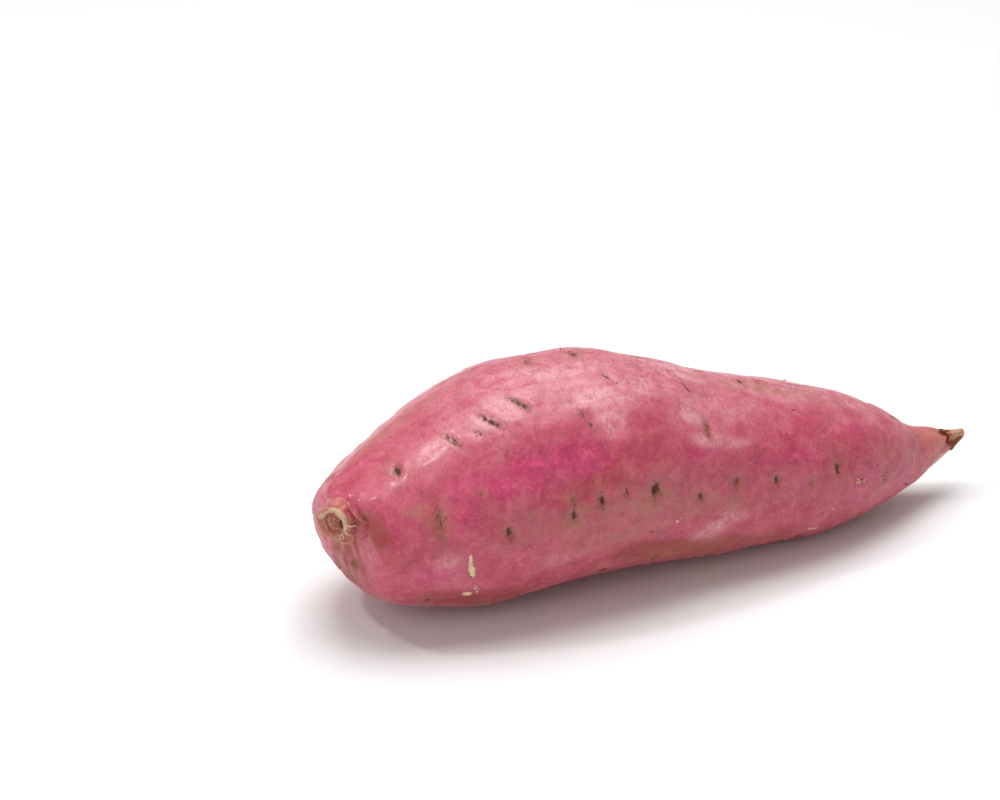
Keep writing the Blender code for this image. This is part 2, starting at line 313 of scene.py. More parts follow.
# Russet patches, which also paint the shade on the lower side and beside the scar
RUSSET_AND_SHADE_PATCHES = (
    # Painted shade beside the scar's swollen lip, together with its red-brown
    (7, 66, 5.5, 20, 1.3),
    (3.6, 160, 3.5, 34, 0.9),
    (82.7, 119, 12, 8, 0.8),
    (96, 122, 12, 8, 0.9),
    (108, 119, 10, 8, 0.7),
    (99.9, 98, 8, 6, 0.4),
    (128, 119, 14, 9, 0.6),
    (24, 121, 12, 10, 0.5),
    (42.4, 124, 14, 9, 0.5),
    # Painted shade along the lower edge
    (102.5, 127, 15, 7, 0.6),
    (38, 131, 15, 6, 0.6),
    (82, 116, 8, 6, 0.4),
)

# Patches of each colour on the sides that turn away, and how many of them are russet
HIDDEN_PATCHES = 14
HIDDEN_RUSSETS = 5

# Scuffs where the outer skin is rubbed off: distance along, angle, half length round, half width,
# strength in the place of a mark's depth, and degrees that the length is turned towards the tail
SCUFFS = (
    (33.4, 98.5, 4.4, 0.8, 1, 0),
    (33.6, 122, 1.2, 1.5, 0.9, 0),
    (35.4, 116, 0.9, 0.9, 0.8, 0),
    (92.8, 99, 1.4, 0.5, 1, -35),
    (85.7, 106, 4.2, 0.4, 0.5, 90),
    (152.7, 86, 1.8, 0.5, 0.8, 90),
    (139.1, 124, 2.6, 0.7, 0.9, 75),
    (60, 128, 1.2, 0.6, 0.6, 30),
    (118, 250, 3, 0.8, 0.9, 20),
    (70, 284, 4, 0.7, 0.8, 70),
    (34, 300, 2, 1.2, 0.8, 0),
    (148, 330, 3.2, 0.5, 0.7, 85),
)


def outline(share):
    """The outline's values at shares 0 to 1 of the way from scar to tip, on a smooth curve through the
    stations: a cubic between each two, whose slope at a station is that of its two neighbours."""
    steps = np.hypot(*np.diff(STATIONS[:, [0, 2]], axis=0).T)
    knots = np.concatenate([[0.0], np.cumsum(np.sqrt(steps))])
    slopes = np.gradient(STATIONS, knots, axis=0)
    place = np.asarray(share) * knots[-1]
    span = np.clip(np.searchsorted(knots, place, side="right") - 1, 0, len(knots) - 2)
    width = (knots[span + 1] - knots[span])[..., None]
    t = (place - knots[span])[..., None] / width
    start, end = STATIONS[span], STATIONS[span + 1]
    return (
        start * (2 * t**3 - 3 * t**2 + 1)
        + slopes[span] * width * (t**3 - 2 * t**2 + t)
        + end * (3 * t**2 - 2 * t**3)
        + slopes[span + 1] * width * (t**3 - t**2)
    )


def turned_by(angle, start):
    """Degrees from start to angle the short way round, between -180 and 180."""
    return (angle - start + 180.0) % 360.0 - 180.0


def body_point(share, angle):
    """Points of the smooth body: an ellipse for each share, swollen or hollowed by the broad forms."""
    along, height, half_height, side, half_width, turn = np.moveaxis(outline(share), -1, 0)
    scale = np.ones(np.broadcast(along, angle).shape)
    for place, start, amount, reach, spread in BROAD_FORMS:
        scale += amount * np.exp(
            -(((along - place) / reach) ** 2) - (turned_by(angle, start) / spread) ** 2
        )
    across = scale * half_width * np.sin(np.radians(angle))
    lift = scale * (half_height + SINK / 2) * np.cos(np.radians(angle))
    return np.stack(
        [
            along + across * np.sin(np.radians(turn)),
            side - across * np.cos(np.radians(turn)),
            height - SINK / 2 + lift,
        ],
        axis=-1,
    )


def share_at(along):
    """The share whose ring lies at these distances along the body, behind the neck."""
    shares = np.linspace(0.12, 1.0, 4000)
    return np.interp(along, outline(shares)[:, 0], shares)


def hidden_eyes():
    """Eyes at uneven gaps along each row of the sides that turn away, smaller towards the tail."""
    draw = random.Random(SEED)
    eyes = []
    for angle, place in HIDDEN_ROWS:
        while place < LAST_EYE:
            size = draw.uniform(0.75, 1.2) * (1.1 - 0.3 * place / LAST_EYE)
            eyes.append(
                (
                    place,
                    angle + draw.uniform(-7.0, 7.0),
                    2.0 * size,
                    1.1 * size,
                    draw.uniform(0.5, 1.0) * size,
                    draw.uniform(0.1, 0.4),
                    draw.uniform(-10.0, 16.0),
                )
            )
            place += draw.uniform(*EYE_GAP)
    return tuple(eyes)


def placed_marks(marks):
    """Each mark with its middle and three directions: along it is wide, round it is long, and out."""
    table = np.array(marks)
    share, angle = share_at(table[:, ALONG]), table[:, ANGLE]
    middle = body_point(share, angle)
    along = body_point(share + 0.001, angle) - body_point(share - 0.001, angle)
    around = body_point(share, angle + 0.5) - body_point(share, angle - 0.5)
    along /= np.linalg.norm(along, axis=1, keepdims=True)
    out = np.cross(around, along)
    out /= np.linalg.norm(out, axis=1, keepdims=True)
    around = np.cross(along, out)
    # The turn is the last value of every mark, also of the scuffs, which have no lip
    turn = np.radians(table[:, -1:])
    length = np.cos(turn) * around + np.sin(turn) * along
    width = np.cos(turn) * along - np.sin(turn) * around
    return list(zip(table, middle, width, length, out))


def bells(points, placed, spread=1.0):
    """For each mark: its values, a flat-topped bell that is 1 near its middle and 0 on the far side of
    the root, and the points' distances across and down it, in half widths and half lengths that are
    spread as many times larger."""
    for values, middle, width, length, out in placed:
        half_length, half_width = values[HALF_LENGTH], values[HALF_WIDTH]
        offset = points - middle
        across = offset @ width / half_width
        down = offset @ length / half_length
        reach = MARK_REACH + MARK_REACH_SHARE * (half_length + half_width)
        near = np.exp(-((offset @ out / reach) ** 4))
        yield values, near, across / spread, down / spread


def relief(points, placed):
    """How far the marks raise or sink the skin: each is a bell-shaped pit with a lower bell for a lip."""
    height = np.zeros(points.shape[:-1])
    for values, near, across, down in bells(points, placed):
        pit = values[DEPTH] * np.exp(-(across**2) - down**2)
        ridge = values[LIP] * np.exp(-((across - LIP_PLACE) ** 2) - down**2)
        height += near * (ridge - pit)
    return height


def body_normal(share, angle):
    """Directions straight out of the smooth body, from its slopes along and round it."""
    share = np.clip(share, 4e-4, 1 - 4e-4)
    along = body_point(share + 2e-4, angle) - body_point(share - 2e-4, angle)
    around = body_point(share, angle + 0.5) - body_point(share, angle - 0.5)
    out = np.cross(around, along)
    return out / np.linalg.norm(out, axis=-1, keepdims=True)


def waves(points, size, seed, stretch=(1.0, 1.0, 1.0), count=28):
    """An uneven field of about plus and minus one: the sum of waves in random directions, each about
    size long, stretched along X, Y and Z."""
    draw = np.random.default_rng(seed)
    direction = draw.normal(size=(count, 3))
    direction /= np.linalg.norm(direction, axis=1, keepdims=True)
    vector = direction * draw.uniform(0.65, 1.5, (count, 1)) * 2 * math.pi / size / np.array(stretch)
    phase = draw.uniform(0.0, 2 * math.pi, count)
    total = np.zeros(points.shape[:-1])
    for k in range(count):
        total += np.sin(points @ vector[k] + phase[k])
    return total / math.sqrt(count / 2)


def patches(along, angle, table):
    """The sum of soft patches of colour, each a bell along the root and a bell round it."""
    total = np.zeros(np.broadcast(along, angle).shape)
    for place, start, reach, spread, strength in table:
        total += strength * np.exp(
            -(((along - place) / reach) ** 2) - (turned_by(angle, start) / spread) ** 2
        )
    return total


def hidden_patches(seed):
    """Patches of colour on the sides that turn away: each value, in the order of the tables of patches,
    is drawn evenly between two limits."""
    draw = random.Random(seed)
    return tuple(
        (
            draw.uniform(15.0, 180.0),
            draw.uniform(145.0, 350.0),
            draw.uniform(6.0, 18.0),
            draw.uniform(6.0, 14.0),
            draw.uniform(0.35, 0.9),
        )
        for _ in range(HIDDEN_PATCHES)
    )


def rise(value, low, high):
    """0 below low, 1 above high, and a smooth climb between."""
    t = np.clip((value - low) / (high - low), 0.0, 1.0)
    return t * t * (3 - 2 * t)


def collar_bell(share, angle, inwards, width):
    """The swollen lip that half hides the upper side of the scar's rim: a bell of that width across the
    neck, moved inwards that far and drifting outwards towards -Y, times a flat-topped bell round it."""
    radius = outline(share)[..., 2]
    place = COLLAR_RADIUS - inwards + COLLAR_DRIFT * rise(turned_by(angle, 0.0), 5.0, 74.0)
    across = np.exp(-(((radius - place) / width) ** 2)) * (share < SCAR_SHARE * 2.6)
    return across * np.exp(-((turned_by(angle, COLLAR_ANGLE) / COLLAR_REACH) ** 4))


def cap_slant(angle):
    """How far the border of the tail's dried cap is moved towards the scar at this angle."""
    return TAIL_SLANT * np.cos(np.radians(turned_by(angle, TAIL_SLANT_ANGLE)))


class Root:
    """The shape of the root on the frame: its marks, its fine relief and the way onto the frame."""

    def __init__(self, settings):
        self.settings = settings
        self.eyes = placed_marks(EYES + hidden_eyes())
        self.slits = placed_marks(SLITS)
        self.creases = placed_marks(SCAR_CREASES)
        self.furrows = placed_marks(FURROWS)
        self.scuffs = placed_marks(SCUFFS)

        # The shift onto the frame brings the middle of the shape, from a coarse grid of it, to the middle
        # of the node's box. Heights need none, because both are measured from the table
        share, angle = np.meshgrid(
            np.linspace(0, 1, 500), np.linspace(0, 360, 180, endpoint=False), indexing="ij"
        )
        coarse = self.marked_point(share, angle).reshape(-1, 3)
        lowest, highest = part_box(NODE)
        middle = (np.array(lowest) + np.array(highest)) / 2
        self.shift = middle / MM - (coarse.min(axis=0) + coarse.max(axis=0)) / 2
        self.shift[2] = 0.0

    def marked_point(self, share, angle):
        """The smooth body moved along its normal by the marks, as the CAD part has it."""
        point = body_point(share, angle)
        marks = self.eyes + self.slits + self.creases + self.furrows
        return point + relief(point, marks)[..., None] * body_normal(share, angle)

    def fine_relief(self, share, angle):
        """The small unevenness of the skin, in millimetres: broad dents and small lumps, veins that run
        lengthwise and wrinkles that run round it in places, each a sum of waves; waves round the root
        for the folds of the dried tail and the puckers of the neck; and bells for the swollen lip
        behind the scar and the hump on the tail."""
        point = body_point(share, angle)
        along = outline(share)[..., 0]
        fine = self.settings
        dents = fine.dents / MM * waves(point, 17.0, 1, (1.5, 1.0, 1.0))
        lumps = fine.lumps / MM * waves(point, 6.5, 2)
        veins = fine.veins / MM * waves(point, 4.2, 3, (7.0, 1.0, 1.0))
        where = rise(waves(point, 30.0, 4), -0.4, 1.2)
        wrinkles = fine.wrinkles / MM * where * waves(point, 2.6, 5, (0.8, 5.0, 5.0))
        tail = rise(along, 176.0, 192.0)
        folds = fine.folds / MM * tail * np.sin(
            np.radians(angle) * 7 + along / 7 + 0.8 * waves(point, 9.0, 6, (3.0, 1.0, 1.0))
        )
        near_scar = np.exp(-(((share - PUCKER_SHARE) / PUCKER_REACH) ** 2))
        puckers = fine.puckers / MM * near_scar * np.sin(
            np.radians(angle) * 11 + 1.2 * waves(point, 8.0, 7)
        )
        radius = outline(share)[..., 2]
        uneven = rise(radius, 0.0, 4.0) * (dents + lumps + veins + wrinkles + puckers)
        lip = fine.collar / MM * collar_bell(share, angle, 0.0, 1.45)
        hump = np.exp(
            -(((along - HUMP_PLACE[0]) / HUMP_REACH[0]) ** 2)
            - (turned_by(angle, HUMP_PLACE[1]) / HUMP_REACH[1]) ** 2
        )
        return uneven + folds * rise(radius, 0.2, 3.0) + (lip + fine.hump / MM * hump)

    def skin_point(self, share, angle, lift):
        """Points of the finished skin in design millimetres, lifted off it along its normal."""
        height = self.fine_relief(share, angle) + lift
        return self.marked_point(share, angle) + height[..., None] * body_normal(share, angle)

    def on_frame(self, point, floor=0.0):
        """Design millimetres to metres on the frame, with nothing below this height."""
        moved = (point + self.shift) * MM
        moved[..., 2] = np.maximum(moved[..., 2], floor)
        return moved


def closed_faces(rows, columns, start=0):
    """Faces of a closed surface: a first point, rows of points that each join into a ring, and a last
    point, in that order, the first of them at this place in the list of points."""
    ring = np.arange(rows * columns).reshape(rows, columns) + start + 1
    after = np.roll(ring, -1, axis=1)
    quads = np.stack([ring[:-1], after[:-1], after[1:], ring[1:]], axis=-1).reshape(-1, 4)
    first, last = np.full(columns, start), np.full(columns, start + rows * columns + 1)
    caps = [np.stack([first, after[0], ring[0]], -1), np.stack([last, ring[-1], after[-1]], -1)]
    return quads.tolist() + np.concatenate(caps).tolist()


def closed_points(rows):
    """Rows of points as one list, whose first and last rows are poles and become one point each."""
    inner = rows[1:-1].reshape(-1, rows.shape[-1])
    return np.concatenate([rows[:1, 0], inner, rows[-1:, 0]])


def point_values(rows):
    """Rows of single values as one list, in the order of closed_points."""
    return closed_points(rows[..., None])[:, 0]


def joined(shapes):
    """One list of points and one of faces from several closed surfaces."""
    points, faces, start = [], [], 0
    for rows in shapes:
        points.append(closed_points(rows))
        faces += closed_faces(rows.shape[0] - 2, rows.shape[1], start)
        start += len(points[-1])
    return np.concatenate(points), faces


def add_piece(name, points, faces, material, fields=None):
    """A mesh object of these points and faces that rides on the root, with a value at each point for
    each named field."""
    mesh = bpy.data.meshes.new(name)
    mesh.from_pydata(points.tolist(), [], faces)
    mesh.validate()
    mesh.shade_smooth()
    for field, values in (fields or {}).items():
        layer = mesh.attributes.new(field, "FLOAT", "POINT")
        layer.data.foreach_set("value", values.astype(np.float32))
    mesh.materials.append(material)
    piece = bpy.data.objects.new(name, mesh)
    bpy.context.scene.collection.objects.link(piece)
    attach(piece, BODY)
    return piece


def ring_shares(count):
    """Shares of the rings: close together at the thin ends and wider apart along the thick body."""
    shares = np.linspace(0.0, 1.0, 3000)
    values = outline(shares)
    steps = np.hypot(np.diff(values[:, 0]), np.diff(values[:, 2]))
    thickness = (values[1:, 2] + values[:-1, 2]) / 2
    spacing = END_SPACING + thickness / thickness.max()
    travel = np.concatenate([[0.0], np.cumsum(steps / spacing)])
    return np.interp(np.linspace(0.0, travel[-1], count + 2), travel, shares)


class Nodes:
    """Builds a material: each method adds one node and returns its output, which can feed another."""

    def __init__(self, name):
        self.material = bpy.data.materials.new(name)
        self.material.use_nodes = True
        self.tree = self.material.node_tree
        self.shader = self.tree.nodes["Principled BSDF"]
        self.place = self.tree.nodes.new("ShaderNodeTexCoord").outputs["Object"]

    def add(self, kind, inputs, output=0, **options):
        """A new node of this kind with these inputs and options."""
        node = self.tree.nodes.new("ShaderNode" + kind)
        for option, value in options.items():
            setattr(node, option, value)
        for key, value in inputs.items():
            self.feed(node.inputs[key], value)
        return node.outputs[output]

    def feed(self, socket, value):
        """Links an output to this input, or sets its value."""
        if isinstance(value, bpy.types.NodeSocket):
            self.tree.links.new(value, socket)
        else:
            socket.default_value = value

    def field(self, name):
        """The value that the mesh has at each point under this name."""
        return self.add("Attribute", {}, "Fac", attribute_name=name)

    def noise(self, size, detail=2.0, roughness=0.5, distortion=0.0, stretch=None, shift=0.0):
        """Noise whose blots are about size millimetres, stretched along X, Y and Z."""
        place = self.add(
            "Mapping",
            {
                "Vector": self.place,
                "Location": (shift, shift, shift),
                "Scale": [1 / s for s in stretch or (1.0, 1.0, 1.0)],
            },
        )
        return self.add(
            "TexNoise",
            {
                "Vector": place,
                "Scale": 1 / (size * MM),
                "Detail": detail,
                "Roughness": roughness,
                "Distortion": distortion,
            },
            "Fac",
        )

    def cells(self, size):
        """Distance to the nearest of scattered dots about size millimetres apart, in those sizes."""
        return self.add("TexVoronoi", {"Vector": self.place, "Scale": 1 / (size * MM)}, "Distance")

    def between(self, value, low, high, start=0.0, end=1.0):
        """From start where the value is low to end where it is high, smoothly and no further."""
        return self.add(
            "MapRange",
            {"Value": value, "From Min": low, "From Max": high, "To Min": start, "To Max": end},
            interpolation_type="SMOOTHSTEP",
        )

    def sum(self, a, b, clamp=False):
        """The two added, kept between 0 and 1 if clamped."""
        return self.add("Math", {0: a, 1: b}, operation="ADD", use_clamp=clamp)

    def times(self, a, b, clamp=False):
        """The two multiplied, kept between 0 and 1 if clamped."""
        return self.add("Math", {0: a, 1: b}, operation="MULTIPLY", use_clamp=clamp)

    def ragged(self, name, blots, amount):
        """A field of the mesh whose borders stray with blots of noise, by up to half this amount."""
        return self.sum(self.field(name), self.times(self.sum(blots, -0.5), amount))

    def mix(self, factor, a, b):
        """Colour a where the factor is 0 and b where it is 1, blended in proportion between."""
        return self.add("Mix", {0: factor, 6: a, 7: b}, 2, data_type="RGBA")

    def bump(self, height, depth, normal=None):
        """Bends the light as if the surface rose and fell by depth millimetres."""
        inputs = {"Height": height, "Distance": depth * MM, "Strength": 1.0}
        if normal is not None:
            inputs["Normal"] = normal
        return self.add("Bump", inputs, "Normal")

    def finish(self, colour, roughness, normal):
        """Feeds the shader and returns the material."""
        self.feed(self.shader.inputs["Base Color"], colour)
        self.feed(self.shader.inputs["Roughness"], roughness)
        if normal is not None:
            self.feed(self.shader.inputs["Normal"], normal)
        return self.material


def skin_material(look):
    """Pink skin: magenta and crimson clouds, short darker and paler dashes, dust on the upper side mixed
    with a painted sheen and highlight, russet on the underside that is partly painted shade, tan haze and
    dark dirt at the eyes, cream where it is rubbed off, and a dried brown tail."""
    n = Nodes("pink_skin")
    cloud = n.noise(17.0, 3.0, 0.55, stretch=(1.6, 1.0, 1.0))
    crimson = n.sum(n.between(cloud, 0.44, 0.66, end=0.5), n.field("crimson"), clamp=True)
    colour = n.mix(crimson, look.magenta, look.crimson)
    warm = n.ragged("hot", n.noise(7.0, 4.0, 0.6, 0.4, shift=0.2), 1.1)
    hot = n.between(warm, 0.20, 0.95)
    colour = n.mix(hot, colour, look.hot)
    fade = n.between(n.noise(9.0, 4.0, 0.6, shift=0.3), 0.42, 0.72)
    colour = n.mix(n.times(fade, 0.36), colour, look.rose)
    blotch = n.noise(4.4, 4.0, 0.62, 0.7, shift=8.0)
    colour = n.mix(n.between(blotch, 0.50, 0.68, end=0.42), colour, look.deep)
    colour = n.mix(n.between(blotch, 0.50, 0.34, end=0.34), colour, look.blush)
    sallow = n.noise(2.4, 4.0, 0.64, 0.5, shift=9.0)
    worn = n.times(n.between(sallow, 0.50, 0.68), n.sum(n.field("tan"), 0.16, clamp=True), clamp=True)
    colour = n.mix(n.times(worn, 0.62), colour, look.tan)
    dash = n.noise(1.15, 3.0, 0.62, 0.9, stretch=(0.75, 1.2, 1.2))
    colour = n.mix(n.between(dash, 0.53, 0.70, end=0.55), colour, look.deep)
    pale = n.noise(1.0, 3.0, 0.65, 1.1, shift=0.7)
    colour = n.mix(n.between(pale, 0.55, 0.72, end=0.55), colour, look.blush)
    grain = n.noise(0.34, 2.0, 0.6)

    # Russet, with painted shade in the same colour along the underside and beside the scar's swollen lip
    ground = n.ragged("russet_and_shade", n.noise(5.0, 4.0, 0.6, 0.4, shift=0.6), 0.9)
    colour = n.mix(n.between(ground, 0.22, 1.0, end=0.85), colour, look.russet_and_shade)
    # Dust, with the painted sheen over the upper side and the painted highlight on the shoulder in the same
    # colour
    fine = n.times(n.noise(1.0, 3.0, 0.65, 0.6, (0.8, 1.3, 1.3), shift=0.8), 0.55)
    powder = n.sum(n.times(n.noise(3.6, 4.0, 0.62, 0.5, shift=0.5), 0.65), fine)
    dust_and_sheen = n.times(n.between(powder, 0.43, 0.76, start=0.24, end=1.05), n.field("dust_and_sheen"), clamp=True)
    colour = n.mix(dust_and_sheen, colour, look.dust_and_sheen)

    blot = n.noise(3.2, 4.0, 0.66, shift=0.9)
    haze = n.times(n.between(blot, 0.40, 0.64, start=0.3), n.field("tan"), clamp=True)
    colour = n.mix(haze, colour, look.tan)
    fleck = n.times(n.between(n.noise(0.9, 3.0, 0.7, shift=1.3), 0.60, 0.68), 0.5)
    stain = n.times(fleck, n.sum(n.field("tan"), 0.12, clamp=True))
    colour = n.mix(stain, colour, look.stain)

    halo = n.times(n.between(n.noise(1.3, 4.0, 0.7, shift=2.1), 0.36, 0.60, start=0.15), n.field("halo"))
    colour = n.mix(n.between(halo, 0.08, 0.72, end=0.85), colour, look.halo)
    flush = n.ragged("collar", n.noise(1.6, 3.0, 0.6, shift=7.0), 0.6)
    colour = n.mix(n.between(flush, 0.25, 0.80, end=0.85), colour, look.salmon)

    edge = n.ragged("scuff", n.noise(0.8, 4.0, 0.7, shift=3.7), 1.3)
    bare = n.between(edge, 0.40, 0.62)
    rubbed = n.mix(n.between(n.noise(0.6, 2.0), 0.35, 0.65), look.cream, look.straw)
    colour = n.mix(n.between(edge, 0.22, 0.40, end=0.45), colour, look.stain)
    colour = n.mix(bare, colour, rubbed)

    rim = n.ragged("tail", n.noise(2.2, 4.0, 0.65, shift=4.4), 0.9)
    strips = n.between(n.noise(1.1, 4.0, 0.7, stretch=(3.0, 1.0, 1.0)), 0.38, 0.66)
    dried = n.mix(strips, look.bark, look.rust)
    colour = n.mix(n.between(rim, 0.42, 0.66), colour, dried)

    core = n.ragged("dark", n.noise(0.5, 3.0, 0.7, shift=5.0), 0.7)
    pit = n.between(core, 0.34, 0.70)
    colour = n.mix(n.times(pit, 0.94), colour, look.dirt)

    roughness = n.between(n.noise(2.4, 3.0, 0.6), 0.35, 0.68, look.smooth, look.rough)
    roughness = n.sum(roughness, n.times(dust_and_sheen, 0.16))
    roughness = n.sum(roughness, n.times(n.sum(pit, n.times(bare, 0.7)), 0.35), clamp=True)

    pores = n.between(n.cells(1.9), 0.05, 0.22, 1.0, 0.0)
    relief_sum = n.sum(n.times(dash, 0.5), n.times(pale, -0.35))
    normal = n.bump(n.noise(2.6, 4.0, 0.6, shift=6.2), 0.10)
    normal = n.bump(n.sum(relief_sum, n.times(pores, 0.10)), 0.10, normal)
    normal = n.bump(grain, 0.022, normal)
    normal = n.bump(n.sum(n.times(bare, -0.5), n.times(pit, -0.6)), 0.16, normal)
    n.shader.inputs["Coat Weight"].default_value = look.coat
    n.shader.inputs["Coat Roughness"].default_value = 0.17
    n.shader.inputs["Specular IOR Level"].default_value = 0.32
    return n.finish(colour, roughness, normal)


def cork_material(look):
    """Cork of the stem scar: pale tan ridges, brown pink between them, nearly black in the cavity."""
    n = Nodes("scar_cork")
    fibre = n.noise(0.5, 4.0, 0.7, 0.6, stretch=(1.0, 1.0, 1.4))
    colour = n.mix(n.between(fibre, 0.38, 0.62), look.face, look.fibre)
    rim = n.ragged("rim", n.noise(0.9, 3.0, 0.6, shift=1.0), 0.9)
    colour = n.mix(n.between(rim, 0.22, 0.62, end=0.88), colour, look.rim)
    hollow = n.ragged("hollow", n.noise(0.6, 3.0, 0.6, shift=2.0), 0.5)
    colour = n.mix(n.between(hollow, 0.30, 0.75, end=0.95), colour, look.hollow)
    normal = n.bump(fibre, 0.16)
    normal = n.bump(n.noise(0.22, 2.0, 0.6), 0.04, normal)
    n.shader.inputs["Specular IOR Level"].default_value = 0.25
    return n.finish(colour, n.between(fibre, 0.3, 0.7, 0.72, 0.92), normal)


def dry_material(look):
    """Dried tail: dark red-brown skin with paler folds, straw coloured at the very end and along its upper
    side, where the straw is partly a painted highlight.
    """
    n = Nodes("dry_tail")
    grain = n.noise(0.9, 4.0, 0.7, 0.4, stretch=(3.5, 1.0, 1.0))
    colour = n.mix(n.between(grain, 0.36, 0.66), look.bark, look.rust)
    fold = n.ragged("fold", grain, 0.6)
    colour = n.mix(n.between(fold, 0.45, 0.95, end=0.7), colour, look.tan)
    # Straw at the very end, and painted highlight in the same colour along the upper side
    end = n.ragged("straw", n.noise(1.0, 3.0, 0.6, shift=1.0), 0.8)
    pale = n.mix(n.between(grain, 0.34, 0.60), look.straw, look.tan)
    colour = n.mix(n.between(end, 0.38, 0.62), colour, pale)
    normal = n.bump(grain, 0.12)
    normal = n.bump(n.noise(0.25, 2.0, 0.6), 0.03, normal)
    n.shader.inputs["Specular IOR Level"].default_value = 0.3
    return n.finish(colour, n.between(grain, 0.3, 0.7, 0.5, 0.78), normal)


def plain_material(name, light, dark, blots, roughness):
    """Two colours in blots of about that many millimetres, with a bump of the same blots."""
    n = Nodes(name)
    blot = n.noise(blots, 3.0, 0.65)
    colour = n.mix(n.between(blot, 0.40, 0.62), dark, light)
    n.shader.inputs["Specular IOR Level"].default_value = 0.3
    return n.finish(colour, roughness, n.bump(blot, 0.08))


def colour_value(name, description, red, green, blue):
    """A setting that is a colour."""
    return bpy.props.FloatVectorProperty(
        name=name,
        description=description,
        subtype="COLOR",
        size=4,
        min=0.0,
        max=1.0,
        default=(red, green, blue, 1.0),
    )


def length_value(name, description, millimetres):
    """A setting that is a length, given in millimetres here and kept in metres."""
    return bpy.props.FloatProperty(
        name=name,
        description=description,
        subtype="DISTANCE",
        unit="LENGTH",
        min=0.0,
        precision=5,
        default=millimetres * MM,
    )


def share_value(name, description, default):
    """A setting between 0 and 1."""
    return bpy.props.FloatProperty(
        name=name, description=description, subtype="FACTOR", min=0.0, max=1.0, default=default
    )


class SkinSettings(bpy.types.PropertyGroup):
    """Sizes and colours of the skin."""

    rings: bpy.props.IntProperty(
        name="Rings", description="Rings of points from the scar to the tip", default=316, min=60
    )
    sides: bpy.props.IntProperty(
        name="Sides", description="Points round each ring", default=304, min=40
    )
    dents: length_value("Dents", "Height of the broad dents", 0.16)
    lumps: length_value("Lumps", "Height of the small lumps", 0.055)
    veins: length_value("Veins", "Height of the veins that run lengthwise", 0.05)
    wrinkles: length_value("Wrinkles", "Height of the wrinkles that run round the root", 0.045)
    collar: length_value("Collar", "Height of the swollen lip above the scar", 1.5)
    hump: length_value("Hump", "Height of the hump on top of the tail", 0.9)
    folds: length_value("Folds", "Height of the folds of the dried tail", 0.28)
    puckers: length_value("Puckers", "Height of the puckers of the neck behind the scar", 0.16)
    scar_depth: length_value("Scar depth", "How far the skin sinks under the cork of the scar", 2.2)
    magenta: colour_value("Magenta", "Commonest colour of the skin", 0.53, 0.064, 0.132)
    hot: colour_value("Hot pink", "Brightest magenta, in patches", 0.60, 0.042, 0.150)
    # Russet also paints the shade along the underside and beside the scar
    russet_and_shade: colour_value("Russet", "Red-brown of the underside and of hollows", 0.32, 0.036, 0.030)
    salmon: colour_value("Salmon", "Swollen lip behind the scar", 0.60, 0.185, 0.145)
    crimson: colour_value("Crimson", "Redder clouds", 0.5, 0.04, 0.072)
    rose: colour_value("Rose", "Paler clouds", 0.66, 0.165, 0.205)
    deep: colour_value("Deep", "Darker dashes", 0.3, 0.022, 0.052)
    blush: colour_value("Blush", "Paler dashes", 0.74, 0.195, 0.235)
    # Dust also paints the sheen over the upper side and the highlight on the shoulder
    dust_and_sheen: colour_value("Dust", "Pale dust on the upper side", 0.75, 0.345, 0.385)
    tan: colour_value("Tan", "Haze round the eyes", 0.45, 0.165, 0.115)
    stain: colour_value("Stain", "Small brown flecks", 0.25, 0.07, 0.045)
    halo: colour_value("Halo", "Brown round each eye", 0.31, 0.105, 0.068)
    dirt: colour_value("Dirt", "Bottom of the eyes", 0.085, 0.024, 0.014)
    cream: colour_value("Cream", "Flesh where the skin is rubbed off", 0.86, 0.62, 0.42)
    straw: colour_value("Straw", "Dried flesh in the scuffs", 0.66, 0.42, 0.25)
    bark: colour_value("Bark", "Dark brown of the dried tail", 0.16, 0.035, 0.022)
    rust: colour_value("Rust", "Red-brown of the dried tail", 0.36, 0.10, 0.052)
    smooth: share_value("Smoothest", "Roughness where the skin shines most", 0.36)
    rough: share_value("Roughest", "Roughness where it shines least", 0.56)
    coat: share_value("Coat", "Strength of the thin shine over the skin", 0.25)


class ScarSettings(bpy.types.PropertyGroup):
    """Sizes and colours of the cork of the stem scar."""

    rim_height: length_value("Rim height", "How far the torn rim stands up", 0.75)
    ridge_height: length_value("Ridge height", "How far the fibres of the face stand up", 0.26)
    cavity: length_value("Cavity", "How deep the cavity beside the middle is", 1.7)
    strands: bpy.props.IntProperty(
        name="Strands", description="Torn fibres that hang from the rim", default=22, min=0
    )
    face: colour_value("Face", "Brown pink of the sunken face", 0.45, 0.14, 0.11)
    fibre: colour_value("Fibre", "Paler fibres on the face", 0.56, 0.25, 0.18)
    rim: colour_value("Rim", "Pale tan of the torn rim", 0.68, 0.45, 0.31)
    hollow: colour_value("Hollow", "Dark greenish brown of the cavity", 0.10, 0.065, 0.03)


class TailSettings(bpy.types.PropertyGroup):
    """Sizes and colours of the dried cap of the tail."""

    start: length_value("Start", "Where the cap begins, from the scar", 193.2)
    ragged: length_value("Ragged", "How far its border strays", 0.7)
    thickness: length_value("Thickness", "How far the cap stands off the skin", 0.20)
    fold_height: length_value("Fold height", "Height of its lengthwise folds", 0.42)
    bark: colour_value("Bark", "Dark brown", 0.15, 0.030, 0.018)
    rust: colour_value("Rust", "Red-brown", 0.34, 0.082, 0.04)
    tan: colour_value("Tan", "Crests of the folds", 0.50, 0.24, 0.15)
    # Straw also paints the highlight along the upper side of the tail's end
    straw: colour_value("Straw", "Pale end", 0.62, 0.40, 0.25)


